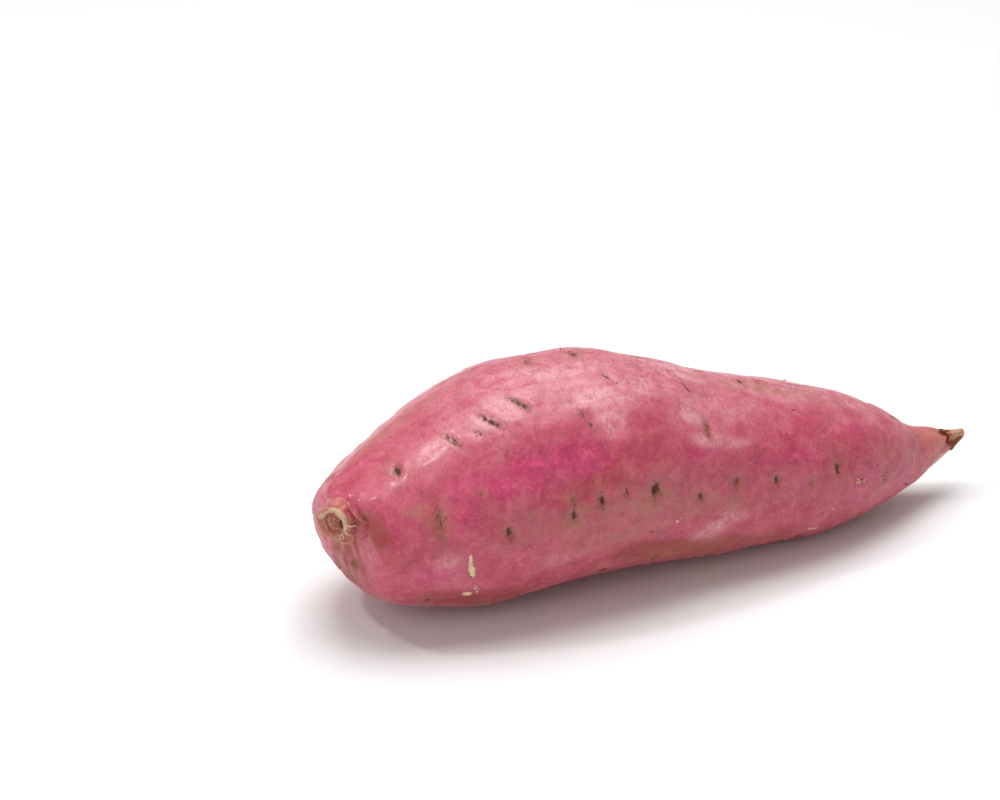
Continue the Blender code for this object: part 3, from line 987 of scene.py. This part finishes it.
class RootletSettings(bpy.types.PropertyGroup):
    """Sizes and colours of the dry rootlets."""

    count: bpy.props.IntProperty(
        name="Count", description="Rootlets on the sides that turn away", default=16, min=0
    )
    radius: length_value("Radius", "Half the thickness of a rootlet where it starts", 0.16)
    light: colour_value("Light", "Paler blots", 0.56, 0.33, 0.22)
    dark: colour_value("Dark", "Darker blots", 0.30, 0.13, 0.075)


class FlakeSettings(bpy.types.PropertyGroup):
    """Sizes and colours of the thin flakes of loose skin."""

    count: bpy.props.IntProperty(
        name="Count", description="Flakes of loose skin", default=46, min=0
    )
    size: length_value("Size", "Half the length of the larger flakes", 1.1)
    curl: length_value("Curl", "How far the free edge lifts", 0.32)
    light: colour_value("Light", "Paler blots", 0.76, 0.43, 0.36)
    dark: colour_value("Dark", "Darker blots", 0.50, 0.16, 0.14)


class SoilSettings(bpy.types.PropertyGroup):
    """Sizes and colours of the soil left in the eyes."""

    crumbs: bpy.props.IntProperty(
        name="Crumbs", description="Crumbs of soil in the eyes and creases", default=520, min=0
    )
    size: length_value("Size", "Half the size of the larger crumbs", 0.24)
    light: colour_value("Light", "Paler crumbs", 0.26, 0.12, 0.065)
    dark: colour_value("Dark", "Darker crumbs", 0.085, 0.032, 0.018)


class StageSettings(bpy.types.PropertyGroup):
    """The plain floor, the studio lights and the camera."""

    turn: bpy.props.FloatProperty(
        name="Turn",
        description="Angle of the camera round the root, from the -Y side",
        subtype="ANGLE",
        default=math.radians(-21.0),
    )
    lift: bpy.props.FloatProperty(
        name="Lift",
        description="Angle of the camera above the floor",
        subtype="ANGLE",
        default=math.radians(27.0),
    )
    distance: length_value("Distance", "From the camera to the root", 700.0)
    lens: bpy.props.FloatProperty(
        name="Lens", description="Focal length in millimetres", default=90.5, min=10.0
    )
    ambient: bpy.props.FloatProperty(
        name="Ambient", description="Strength of the even light from all round", default=0.36, min=0.0
    )
    key: bpy.props.FloatProperty(
        name="Key", description="Power of the main light in watts", default=14.0, min=0.0
    )
    glint: bpy.props.FloatProperty(
        name="Glint", description="Power of the small light in watts", default=1.5, min=0.0
    )
    fill: bpy.props.FloatProperty(
        name="Fill", description="Power of the light from the camera's side", default=2.2, min=0.0
    )
    floor: colour_value("Floor", "Colour of the floor", 0.90, 0.90, 0.90)


def build_skin(look):
    """The whole skin as one closed surface: for each ring and side, the body's ellipse, swollen by the
    broad forms, moved along its normal by the marks and the fine relief, and sunk under the scar's cork.
    Its fields say where each colour goes."""
    root = Root(look)
    shares, angles = ring_shares(look.rings), np.linspace(0, 360, look.sides, endpoint=False)
    share, angle = np.meshgrid(shares, angles, indexing="ij")
    radius = outline(share)[..., 2]
    under_cork = 0.25 * (1 - rise(radius, 4.35, 5.1)) + 0.75 * (1 - rise(radius, 2.4, 3.3))
    under_cork *= share < SCAR_SHARE * 2
    rows = root.skin_point(share, angle, -look.scar_depth / MM * under_cork)
    points = root.on_frame(closed_points(rows))
    fields = {name: point_values(values) for name, values in skin_fields(root, share, angle)}
    faces = closed_faces(look.rings, look.sides)
    piece = add_piece("skin", points, faces, skin_material(look), fields)
    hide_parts(NODE)


def skin_fields(root, share, angle):
    """Names and values of the colour fields: soft patches, and bells at the eyes, slits and scuffs."""
    point = body_point(share, angle)
    along = outline(share)[..., 0]

    # Dust over the upper side and in patches, with painted sheen: the upper side is paler partly because
    # the light falls from above, and a few patches paint the highlight on the shoulder and the sheen round
    # it. The sides that turn away have a seed for each colour
    top = np.cos(np.radians(turned_by(angle, -12.0)))
    cloud = waves(point, 12.0, 11)
    upper_side = rise(top + 0.10 * cloud, 0.45, 1.05) * (0.08 + 0.34 * rise(along, 16.0, 40.0))
    dust_and_sheen = upper_side + patches(along, angle, DUST_AND_SHEEN_PATCHES + hidden_patches(3))
    yield "dust_and_sheen", np.clip(dust_and_sheen + 0.04, 0.0, 1.0)

    # Patches of the other colours, and russet all along the underside, where it paints the shade as well
    tan = patches(along, angle, TAN_PATCHES + hidden_patches(5))
    crimson = patches(along, angle, CRIMSON_PATCHES + hidden_patches(9))
    yield "crimson", np.clip(crimson, 0.0, 1.0)
    yield "hot", np.clip(patches(along, angle, HOT_PATCHES + hidden_patches(13)), 0.0, 1.0)
    russet_and_shade = patches(along, angle, RUSSET_AND_SHADE_PATCHES + hidden_patches(17)[:HIDDEN_RUSSETS])
    yield "russet_and_shade", np.clip(russet_and_shade + 0.55 * rise(-top, 0.62, 1.0), 0.0, 1.0)

    # Eyes: a dark core, darkest where the eye is deep and short, in a wider brown halo
    dark, halo = np.zeros(share.shape), np.zeros(share.shape)
    for values, near, across, down in bells(point, root.eyes):
        deep = min(1.0, 0.30 + values[DEPTH] * 0.65)
        core = min(1.15, max(0.0, values[DEPTH] - 0.15) * 1.25 * (2.2 / values[HALF_LENGTH]) ** 0.6)
        dark = np.maximum(dark, near * core * np.exp(-2.2 * across**2 - 1.3 * down**2))
        halo = np.maximum(halo, near * deep * np.exp(-0.42 * (across + 0.2) ** 2 - 0.36 * down**2))

    # Slits and the neck's creases: a thin dark line that tapers to its ends, in a brown halo
    for values, near, across, down in bells(point, root.slits):
        core = min(0.92, 0.45 + 0.55 * values[DEPTH]) * min(1.0, (0.9 / values[HALF_WIDTH]) ** 2)
        dark = np.maximum(dark, near * core * np.exp(-1.9 * across**2 - 0.8 * down**2))
        halo = np.maximum(halo, near * 1.1 * np.exp(-0.75 * across**2 - 0.6 * down**2))
    for values, near, across, down in bells(point, root.creases):
        dark = np.maximum(dark, near * 0.42 * np.exp(-1.8 * across**2 - 1.3 * down**2))
        halo = np.maximum(halo, near * 0.7 * np.exp(-0.4 * across**2 - 0.4 * down**2))

    # Tan haze far round each eye, below the neck and at the tail
    for values, near, across, down in bells(point, root.eyes, 3.2):
        tan = tan + near * 0.40 * np.exp(-(across**2) - down**2)
    neck = (share < SCAR_SHARE * 2.0) * rise(outline(share)[..., 2], 4.0, 6.0)
    neck = neck * (1 - rise(share, 0.06, 0.16))
    tan += 0.5 * neck * (1 - rise(top, -0.2, 0.6)) + 0.55 * rise(along, 181.0, 190.0)
    yield "tan", np.clip(tan, 0.0, 1.0)

    # Salmon on the swollen lip behind the scar and towards the tail
    yield "collar", collar_bell(share, angle, 0.7, 2.2) + 0.66 * rise(along, 168.0, 190.0)
    yield "dark", dark
    yield "halo", np.clip(halo, 0.0, 1.0)

    # Scuffs, even inside and steep at their borders
    scuff = np.zeros(share.shape)
    for values, near, across, down in bells(point, root.scuffs):
        scuff = np.maximum(scuff, near * values[DEPTH] * np.exp(-(across**4) - down**4))
    yield "scuff", scuff

    # Dried skin on the tail, whose border slants and strays with two waves round the root
    ragged = 0.7 * np.sin(np.radians(angle) * 3 + 1.0) + 0.5 * np.sin(np.radians(angle) * 7)
    yield "tail", rise(along + ragged + cap_slant(angle), 190.6, 194.2)


class PieceOperator:
    """What every operator that builds a piece has in common."""

    bl_options = {"REGISTER", "UNDO"}


class SWEETPOTATO_OT_skin(PieceOperator, bpy.types.Operator):
    """Build the skin of the root, with its eyes, slits, creases and fine wrinkles"""

    bl_idname = "sweet_potato.skin"
    bl_label = "Skin"

    def execute(self, context):
        build_skin(context.scene.potato_skin)
        return {"FINISHED"}


def ring_waves(angle, seed, most):
    """An uneven value round a ring, between about minus and plus one: waves that close on themselves."""
    draw = random.Random(seed)
    total = np.zeros(np.shape(angle))
    for turns in range(1, most + 1):
        total = total + np.sin(np.radians(angle) * turns + draw.uniform(0, 2 * math.pi)) / turns**0.5
    return total / 2.2


def neck_share(radius):
    """The share at which the neck has this half height, from the middle of the scar outwards."""
    shares = np.linspace(0.0, SCAR_SHARE * 2.2, 600)
    return np.interp(radius, outline(shares)[:, 2], shares)


# The cork: the radius of its border and of its torn rim, how much farther out than the rim a second
# ridge stands at one side, how far the cavity lies from the middle towards -Y and upwards, its rows of
# points on top and below, and the points in each row
CORK_BORDER = 4.95
RIM_RADIUS = 4.0
SECOND_RIDGE = 1.15
CAVITY_PLACE = (1.9, -0.5)
CORK_ROWS = (44, 14)
CORK_SIDES = 168


def cork_rows(look):
    """The cork's rows of points, as share, angle, lift off the skin, nearness to the rim and depth in
    the hollow. From the middle outwards on top: a sunken face of radial fibres and wavy rings with a
    cavity beside its middle, a torn rim that is a bell of uneven height and width round the ring, a
    second ridge at one side, and a thin ragged border; then back to the middle below. The whole
    numbers given to ring_waves are its seed and its most waves."""
    reach = np.concatenate([np.linspace(0, 1, CORK_ROWS[0]), np.linspace(1, 0, CORK_ROWS[1])])
    below = np.arange(len(reach)) >= CORK_ROWS[0]
    angle = np.linspace(0, 360, CORK_SIDES, endpoint=False)
    reach, turn = np.meshgrid(reach, angle, indexing="ij")
    below = np.broadcast_to(below[:, None], reach.shape)
    below_scar = np.exp(-((turned_by(turn, 152.0) / 42.0) ** 2))
    border = CORK_BORDER + 0.25 * ring_waves(turn, 21, 14) + 1.9 * below_scar
    radius = reach * border
    rim_place = RIM_RADIUS + 0.25 * ring_waves(turn, 22, 5) - 0.3 * below_scar
    torn = 0.30 + 0.75 * rise(np.cos(np.radians(turned_by(turn, 14.0))), -0.55, 0.35)
    torn = torn * (1.0 + 0.22 * ring_waves(turn, 23, 9))
    wide = 0.60 + 0.16 * np.exp(-((turned_by(turn, 78.0) / 48.0) ** 2)) + 0.10 * ring_waves(turn, 27, 4)
    rim = np.exp(-(((radius - rim_place) / wide) ** 2)) * np.clip(torn, 0.10, 1.3)
    beside = np.exp(-((turned_by(turn, 128.0) / 26.0) ** 2))
    outer = np.exp(-(((radius - rim_place - SECOND_RIDGE) / 0.34) ** 2)) * beside
    fibres = ring_waves(turn + radius * 11.0 + 6.0 * np.sin(radius * 1.7), 25, 26)
    rings = np.sin(radius * 3.4 + np.radians(turn) * 2 + 1.6 * ring_waves(turn, 26, 5))
    inside = 1 - rise(radius, rim_place - 0.9, rim_place)
    side = radius * np.sin(np.radians(turn)) - CAVITY_PLACE[0]
    above = radius * np.cos(np.radians(turn)) - CAVITY_PLACE[1]
    hollow = np.exp(-((side / 1.15) ** 2) - ((above - 0.3 * side) / 1.5) ** 2)
    lift = 0.10 + look.rim_height / MM * (rim + 0.35 * outer) + 0.15 * inside
    crest = 0.7 * fibres * rise(radius, 0.3, 1.6) + 1.1 * rings
    lift += look.ridge_height / MM * inside * crest
    lift += (1 - inside) * (0.03 * fibres + 0.16 * below_scar * rings)
    lift -= look.cavity / MM * hollow
    floor = -2.3 * (1 - rise(radius, 2.3, 3.2)) - 0.42
    shine = rim**1.6 + 0.4 * outer + 0.42 * inside * np.clip(rings, 0, 1) ** 2
    return neck_share(radius), turn, np.where(below, floor, lift), shine, hollow


def tubes(paths, radii):
    """Closed tubes: for each path, rings whose radius is given at each of its points, between two
    ends. The rings stand square to the path's own direction."""
    ahead = np.gradient(paths, axis=1)
    ahead /= np.linalg.norm(ahead, axis=-1, keepdims=True)
    fixed = np.array([0.31, 0.87, 0.39])
    normal = np.cross(ahead, fixed)
    normal /= np.linalg.norm(normal, axis=-1, keepdims=True)
    across = np.cross(ahead, normal)
    turn = np.linspace(0, 2 * math.pi, TUBE_SIDES, endpoint=False)
    ring = normal[:, :, None] * np.cos(turn)[:, None] + across[:, :, None] * np.sin(turn)[:, None]
    rows = paths[:, :, None] + radii[:, :, None, None] * ring
    ends = np.broadcast_to(paths[:, [0, -1], None], (len(paths), 2, TUBE_SIDES, 3))
    return np.concatenate([ends[:, :1], rows, ends[:, 1:]], axis=1)


def scar_strands(root, look):
    """Torn fibres: each starts on the rim and runs out over the neck, most of them at the lower side
    that faces -Y, lifting and drifting a little on the way."""
    draw = np.random.default_rng(STRAND_SEED)
    count = look.strands
    start = np.where(draw.random(count) < 0.85, draw.normal(125, 26, count), draw.uniform(0, 360, count))
    t = np.linspace(0, 1, STRAND_POINTS)
    inner = draw.uniform(3.3, 4.3, count)[:, None]
    radius = inner + draw.uniform(0.9, 2.6, count)[:, None] * t
    drift = draw.normal(0, 16, count)[:, None] * t + draw.normal(0, 5, count)[:, None] * np.sin(t * 6)
    lift = 0.25 + draw.uniform(0.1, 0.9, count)[:, None] * np.sin(t * math.pi) * (1 - 0.4 * t)
    path = root.skin_point(neck_share(radius), start[:, None] + drift, lift)
    thick = draw.uniform(0.10, 0.24, count)[:, None] * (1 - 0.75 * t**2)
    return tubes(root.on_frame(path, 2 * MM), thick * MM)


class SWEETPOTATO_OT_scar(PieceOperator, bpy.types.Operator):
    """Build the cork of the stem scar and the torn fibres that hang from its rim"""

    bl_idname = "sweet_potato.scar"
    bl_label = "Stem Scar"

    def execute(self, context):
        look = context.scene.potato_scar
        root = Root(context.scene.potato_skin)
        share, angle, lift, rim, hollow = cork_rows(look)
        rows = root.on_frame(root.marked_point(share, angle) + lift[..., None] * body_normal(share, angle))
        points, faces = joined([rows])
        fields = {"rim": point_values(rim), "hollow": point_values(hollow)}
        material = cork_material(look)
        add_piece("stem_scar", points, faces, material, fields)
        points, faces = joined(scar_strands(root, look))
        fields = {"rim": np.full(len(points), 0.8), "hollow": np.zeros(len(points))}
        add_piece("scar_strands", points, faces, material, fields)
        return {"FINISHED"}


# The cap's ends in parts of the way from its border to the tip: the last is just short of the tip, where
# the rings would shrink to nothing. Then its rows on top, the rows that close it below its border, how
# far those reach out from its middle, and the points in each row
CAP_END = 0.998
CAP_ROWS = 70
CAP_CLOSING_ROWS = 6
CAP_CLOSING_REACH = 0.97
CAP_SIDES = 120


def tail_rows(root, look):
    """The dried cap's rows of points, and how much each is on a fold's crest or straw coloured, where the
    straw along the upper side stands partly for a painted highlight. From a ragged, slanting border to the
    tip it follows the skin, lifted by its own thickness, which is more at the open edge, and by lengthwise
    folds, which are two waves round the root that drift along it.
    Its first rows shrink to the middle of the border, so that it is closed."""
    angle = np.linspace(0, 360, CAP_SIDES, endpoint=False)
    border = look.start / MM + look.ragged / MM * ring_waves(angle, 41, 12)
    border -= cap_slant(angle)
    t = np.concatenate([np.zeros(CAP_CLOSING_ROWS), np.linspace(0, CAP_END, CAP_ROWS)])
    fill = np.concatenate(
        [np.linspace(0, CAP_CLOSING_REACH, CAP_CLOSING_ROWS - 1), np.ones(CAP_ROWS + 1)]
    )
    share = share_at(border) + (1 - share_at(border)) * t[:, None]
    turn = np.broadcast_to(angle, share.shape)
    along = outline(share)[..., 0]
    wave = np.sin(np.radians(turn) * 4 + along / 2.6 + 1.3 * ring_waves(turn, 42, 4))
    narrow = np.sin(np.radians(turn) * 9 - along / 1.7 + 1.1 * ring_waves(turn, 43, 5))
    fold = np.clip(0.5 + 0.5 * (0.70 * wave + 0.4 * narrow), 0, 1) ** 1.5
    open_edge = np.exp(-((t[:, None] / 0.05) ** 2))
    thin = rise(outline(share)[..., 2], 0.1, 2.4)
    lift = look.thickness / MM * (1 + 0.8 * open_edge) + look.fold_height / MM * fold
    rows = root.skin_point(share, turn, lift * thin)
    middle = rows[CAP_CLOSING_ROWS : CAP_CLOSING_ROWS + 1].mean(axis=1, keepdims=True)
    rows = middle + (rows - middle) * np.where(t > 0, 1.0, fill)[:, None, None]
    # Straw along the upper side before the very end is partly a painted highlight, paler where the light
    # falls from above
    upper = np.cos(np.radians(turned_by(turn, 10.0))) + 0.25 * ring_waves(turn, 44, 5)
    straw = rise(along, 193.6, 195.4) * rise(upper + 0.6 * rise(along, 197.5, 200.0), 0.15, 0.70)
    straw *= 1 - 0.6 * rise(along, 199.0, 200.0)
    return root.on_frame(rows), fold, straw


class SWEETPOTATO_OT_tail(PieceOperator, bpy.types.Operator):
    """Build the dried, folded cap at the end of the tail"""

    bl_idname = "sweet_potato.tail"
    bl_label = "Dried Tail"

    def execute(self, context):
        look = context.scene.potato_tail
        rows, fold, straw = tail_rows(Root(context.scene.potato_skin), look)
        points, faces = joined([rows])
        # The straw field holds the pale end and the painted highlight along the upper side
        fields = {"fold": point_values(fold), "straw": point_values(straw)}
        add_piece("dried_tail", points, faces, dry_material(look), fields)
        return {"FINISHED"}


# Rootlets that show: distance along, angle, length, lean along the root and lean round it
SHOWN_ROOTLETS = (
    (73.4, 345, 2.4, -0.25, 0.1),
    (74.2, 344, 1.5, 0.7, 0.3),
    (19, 27, 0.9, 0.5, 0.2),
    (61.5, 85, 1, 0.2, 0.3),
    (86, 82, 1.1, -0.3, 0.4),
    (145, 72, 0.9, 0.4, 0.2),
)


def rootlet_paths(root, look):
    """Each rootlet rises from its place, an eye for most, and bends over: it leans along the root
    and round it with the square of the distance from its start, and sways a little. It tapers."""
    draw = np.random.default_rng(ROOTLET_SEED)
    eyes = np.array(hidden_eyes())
    chosen = eyes[draw.choice(len(eyes), min(look.count, len(eyes)), replace=False)]
    length = draw.uniform(0.8, 3.2, len(chosen))
    leans = draw.normal(0, 1.3, (len(chosen), 2))
    hidden = np.column_stack([chosen[:, ALONG], chosen[:, ANGLE], length, leans])
    table = np.concatenate([np.array(SHOWN_ROOTLETS), hidden])
    t = np.linspace(0, 1, ROOTLET_POINTS)
    place, start, length, lean_along, lean_round = table.T[..., None]
    along = place + length * lean_along * t**2
    thickness = outline(share_at(place))[..., 2]
    sway = length * lean_round * t**2 + 0.12 * length * np.sin(t * 7 + start)
    angle = start + np.degrees(sway / thickness)
    flat = 1 / np.sqrt(1 + lean_along**2 + lean_round**2)
    lift = -0.5 + length * flat * np.sin(t * 1.9) * 0.75
    path = root.on_frame(root.skin_point(share_at(along), angle, lift), 0.2 * MM)
    return path, look.radius / MM * np.clip(length / 3, 0.6, 1.3) * (1 - 0.8 * t**1.5)


class SWEETPOTATO_OT_rootlets(PieceOperator, bpy.types.Operator):
    """Build the dry rootlets that stand in some of the eyes"""

    bl_idname = "sweet_potato.rootlets"
    bl_label = "Rootlets"

    def execute(self, context):
        look = context.scene.potato_rootlets
        paths, radii = rootlet_paths(Root(context.scene.potato_skin), look)
        points, faces = joined(tubes(paths, radii * MM))
        material = plain_material("dry_rootlet", look.light, look.dark, 0.8, 0.75)
        add_piece("rootlets", points, faces, material)
        return {"FINISHED"}


# A flake's rows of points from the middle of its top to the middle of its underside: how far out each
# is, as a part of the flake's size, and which are on the underside
FLAKE_REACH = (0.0, 0.35, 0.65, 0.88, 1.0, 0.9, 0.6, 0.0)
FLAKE_UNDER = (0, 0, 0, 0, 0, 1, 1, 1)


def flake_rows(root, look):
    """Thin flakes: a disc with an uneven edge, laid on the skin along and round the root, whose free
    side curls up with the square of the distance, and whose underside lies just below its top."""
    draw = np.random.default_rng(FLAKE_SEED)
    scuffs = np.array(SCUFFS)
    beside = scuffs[draw.integers(0, len(scuffs), look.count // 2)]
    near = beside[:, :2] + np.column_stack(
        [draw.normal(0, 1.0, len(beside)), draw.normal(0, 3.5, len(beside))]
    )
    others = look.count - len(near)
    loose = np.column_stack([draw.uniform(12, 178, others), draw.uniform(0, 360, others)])
    place, start = np.concatenate([near, loose]).T[..., None, None]
    size = look.size / MM * draw.uniform(0.28, 1.0, len(place)) ** 1.3
    reach = np.array(FLAKE_REACH)[None, :, None]
    under = np.array(FLAKE_UNDER)[None, :, None]
    turn = np.linspace(0, 360, FLAKE_SIDES, endpoint=False)[None, None, :]
    phase = draw.uniform(0, 360, (len(place), 1, 1))
    edge = 1 + 0.22 * np.sin(np.radians(3 * turn + phase)) + 0.15 * np.sin(np.radians(5 * turn - 2 * phase))
    size = size[:, None, None]
    x = size * reach * edge * np.cos(np.radians(turn))
    y = size * reach * edge * np.sin(np.radians(turn)) * draw.uniform(0.35, 0.8, (len(place), 1, 1))
    spin = np.radians(phase * 7)
    along = place + x * np.cos(spin) - y * np.sin(spin)
    thickness = outline(share_at(place))[..., 2]
    around = start + np.degrees((x * np.sin(spin) + y * np.cos(spin)) / thickness)
    free = np.clip(x / size + 0.3, 0, 1.4) ** 2
    held = 1 - np.clip(free * 4, 0, 1)
    lift = 0.05 + look.curl / MM * free * (0.4 + 0.6 * size) - 0.045 * under - 0.06 * held
    return root.on_frame(root.skin_point(share_at(along), around, lift))


class SWEETPOTATO_OT_flakes(PieceOperator, bpy.types.Operator):
    """Build the thin flakes of loose skin, most of them beside the scuffs"""

    bl_idname = "sweet_potato.flakes"
    bl_label = "Loose Skin"

    def execute(self, context):
        look = context.scene.potato_flakes
        points, faces = joined(flake_rows(Root(context.scene.potato_skin), look))
        material = plain_material("loose_skin", look.light, look.dark, 0.7, 0.6)
        add_piece("loose_skin", points, faces, material)
        return {"FINISHED"}


def crumb_rows(root, look):
    """Crumbs of soil: small balls whose points lie at uneven distances from their middles, scattered by
    a bell across and a bell down the eyes, slits and creases, most of them in the deep ones."""
    draw = np.random.default_rng(CRUMB_SEED)
    marks = np.array(EYES + SLITS + SCAR_CREASES + hidden_eyes())
    weight = marks[:, DEPTH] * marks[:, HALF_LENGTH] * marks[:, HALF_WIDTH]
    chosen = marks[draw.choice(len(marks), look.crumbs, p=weight / weight.sum())]
    tilt = np.radians(chosen[:, TURN])
    wide = draw.normal(0, 0.50, look.crumbs) * chosen[:, HALF_WIDTH]
    long = draw.normal(0, 0.55, look.crumbs) * chosen[:, HALF_LENGTH]
    along = chosen[:, ALONG] + wide * np.cos(tilt) + long * np.sin(tilt)
    thickness = outline(share_at(chosen[:, ALONG]))[:, 2]
    around = chosen[:, ANGLE] + np.degrees((long * np.cos(tilt) - wide * np.sin(tilt)) / thickness)
    size = look.size / MM * draw.uniform(0.3, 1.0, look.crumbs) ** 1.6
    middle = root.skin_point(share_at(along), around, size * 0.25)
    polar, turn = np.meshgrid(
        np.linspace(0, math.pi, CRUMB_ROWS),
        np.linspace(0, 2 * math.pi, CRUMB_SIDES, endpoint=False),
        indexing="ij",
    )
    ball = np.stack([np.sin(polar) * np.cos(turn), -np.sin(polar) * np.sin(turn), np.cos(polar)], axis=-1)
    uneven = draw.uniform(0.7, 1.25, (look.crumbs, CRUMB_ROWS, CRUMB_SIDES, 1))
    uneven[:, [0, -1]] = 1.0
    rows = middle[:, None, None] + size[:, None, None, None] * ball * uneven
    return root.on_frame(rows, 0.05 * MM)


class SWEETPOTATO_OT_soil(PieceOperator, bpy.types.Operator):
    """Build the crumbs of soil left in the eyes and creases"""

    bl_idname = "sweet_potato.soil"
    bl_label = "Soil"

    def execute(self, context):
        look = context.scene.potato_soil
        points, faces = joined(crumb_rows(Root(context.scene.potato_skin), look))
        material = plain_material("soil", look.light, look.dark, 0.5, 0.95)
        add_piece("soil", points, faces, material)
        return {"FINISHED"}


def add_light(name, place, target, size, power):
    """A square light of that size in metres that faces the target."""
    light = bpy.data.lights.new(name, "AREA")
    light.size = size
    light.energy = power
    lamp = bpy.data.objects.new(name, light)
    lamp.location = place
    lamp.rotation_euler = (target - place).to_track_quat("-Z", "Y").to_euler()
    bpy.context.scene.collection.objects.link(lamp)


class SWEETPOTATO_OT_stage(PieceOperator, bpy.types.Operator):
    """Build the plain floor, the soft studio light and the camera"""

    bl_idname = "sweet_potato.stage"
    bl_label = "Stage"

    def execute(self, context):
        scene = context.scene
        look = scene.potato_stage
        mesh = bpy.data.meshes.new("floor")
        corners = [(x * FLOOR_HALF, y * FLOOR_HALF, 0) for x, y in ((-1, -1), (1, -1), (1, 1), (-1, 1))]
        mesh.from_pydata(corners, [], [(0, 1, 2, 3)])
        n = Nodes("pale_floor")
        n.shader.inputs["Specular IOR Level"].default_value = 0.2
        mesh.materials.append(n.finish(look.floor, 0.9, None))
        floor = bpy.data.objects.new("floor", mesh)
        scene.collection.objects.link(floor)

        world = bpy.data.worlds.new("studio")
        world.use_nodes = True
        background = world.node_tree.nodes["Background"]
        background.inputs["Color"].default_value = (1.0, 1.0, 1.0, 1.0)
        background.inputs["Strength"].default_value = look.ambient
        scene.world = world

        turn, lift = look.turn, look.lift
        back = Vector((math.sin(turn) * math.cos(lift), -math.cos(turn) * math.cos(lift), math.sin(lift)))
        right = Vector((math.cos(turn), math.sin(turn), 0.0))
        up = back.cross(right)
        target = Vector(TARGET)
        key_place = target + Vector(KEY_DIRECTION) * KEY_DISTANCE
        glint_place = target + Vector(GLINT_DIRECTION) * GLINT_DISTANCE
        aside, above, nearer = FILL_PLACE
        fill_place = target + (back * nearer + right * aside + up * above)
        add_light("key", key_place, target, KEY_SIZE, look.key)
        add_light("glint", glint_place, target, GLINT_SIZE, look.glint)
        add_light("fill", fill_place, target, FILL_SIZE, look.fill)

        focal = look.lens / SENSOR * PICTURE[0]
        lens = bpy.data.cameras.new("camera")
        lens.lens = look.lens
        lens.sensor_width = SENSOR
        camera = bpy.data.objects.new("camera", lens)
        place = target + back * look.distance
        place -= right * ((TARGET_PIXEL[0] - PICTURE[0] / 2) / focal * look.distance)
        place += up * ((TARGET_PIXEL[1] - PICTURE[1] / 2) / focal * look.distance)
        camera.matrix_world = Matrix(
            [[right[k], up[k], back[k], place[k]] for k in range(3)] + [[0.0, 0.0, 0.0, 1.0]]
        )
        scene.collection.objects.link(camera)
        scene.camera = camera
        scene.view_settings.view_transform = "Standard"
        return {"FINISHED"}


class SWEETPOTATO_PT_panel(bpy.types.Panel):
    """Lists the pieces of the root and their settings"""

    bl_idname = "SWEETPOTATO_PT_panel"
    bl_label = "Sweet Potato"
    bl_space_type = "VIEW_3D"
    bl_region_type = "UI"
    bl_category = "Root"

    def draw(self, context):
        for operator, group, _ in PIECES:
            box = self.layout.box()
            box.operator(operator.bl_idname)
            settings = getattr(context.scene, group)
            for name in settings.__annotations__:
                box.prop(settings, name)


PIECES = (
    (SWEETPOTATO_OT_skin, "potato_skin", SkinSettings),
    (SWEETPOTATO_OT_scar, "potato_scar", ScarSettings),
    (SWEETPOTATO_OT_tail, "potato_tail", TailSettings),
    (SWEETPOTATO_OT_rootlets, "potato_rootlets", RootletSettings),
    (SWEETPOTATO_OT_flakes, "potato_flakes", FlakeSettings),
    (SWEETPOTATO_OT_soil, "potato_soil", SoilSettings),
    (SWEETPOTATO_OT_stage, "potato_stage", StageSettings),
)


def register():
    """Adds the settings, the operators and the panel to Blender."""
    for operator, name, group in PIECES:
        bpy.utils.register_class(group)
        setattr(bpy.types.Scene, name, bpy.props.PointerProperty(type=group))
        bpy.utils.register_class(operator)
    bpy.utils.register_class(SWEETPOTATO_PT_panel)


def unregister():
    """Takes them out again, the last one first."""
    bpy.utils.unregister_class(SWEETPOTATO_PT_panel)
    for operator, name, group in reversed(PIECES):
        bpy.utils.unregister_class(operator)
        delattr(bpy.types.Scene, name)
        bpy.utils.unregister_class(group)


def main():
    """Builds every piece and the stage."""
    register()
    bpy.ops.sweet_potato.skin()
    bpy.ops.sweet_potato.scar()
    bpy.ops.sweet_potato.tail()
    bpy.ops.sweet_potato.rootlets()
    bpy.ops.sweet_potato.flakes()
    bpy.ops.sweet_potato.soil()
    bpy.ops.sweet_potato.stage()


if __name__ == "__main__":
    main()
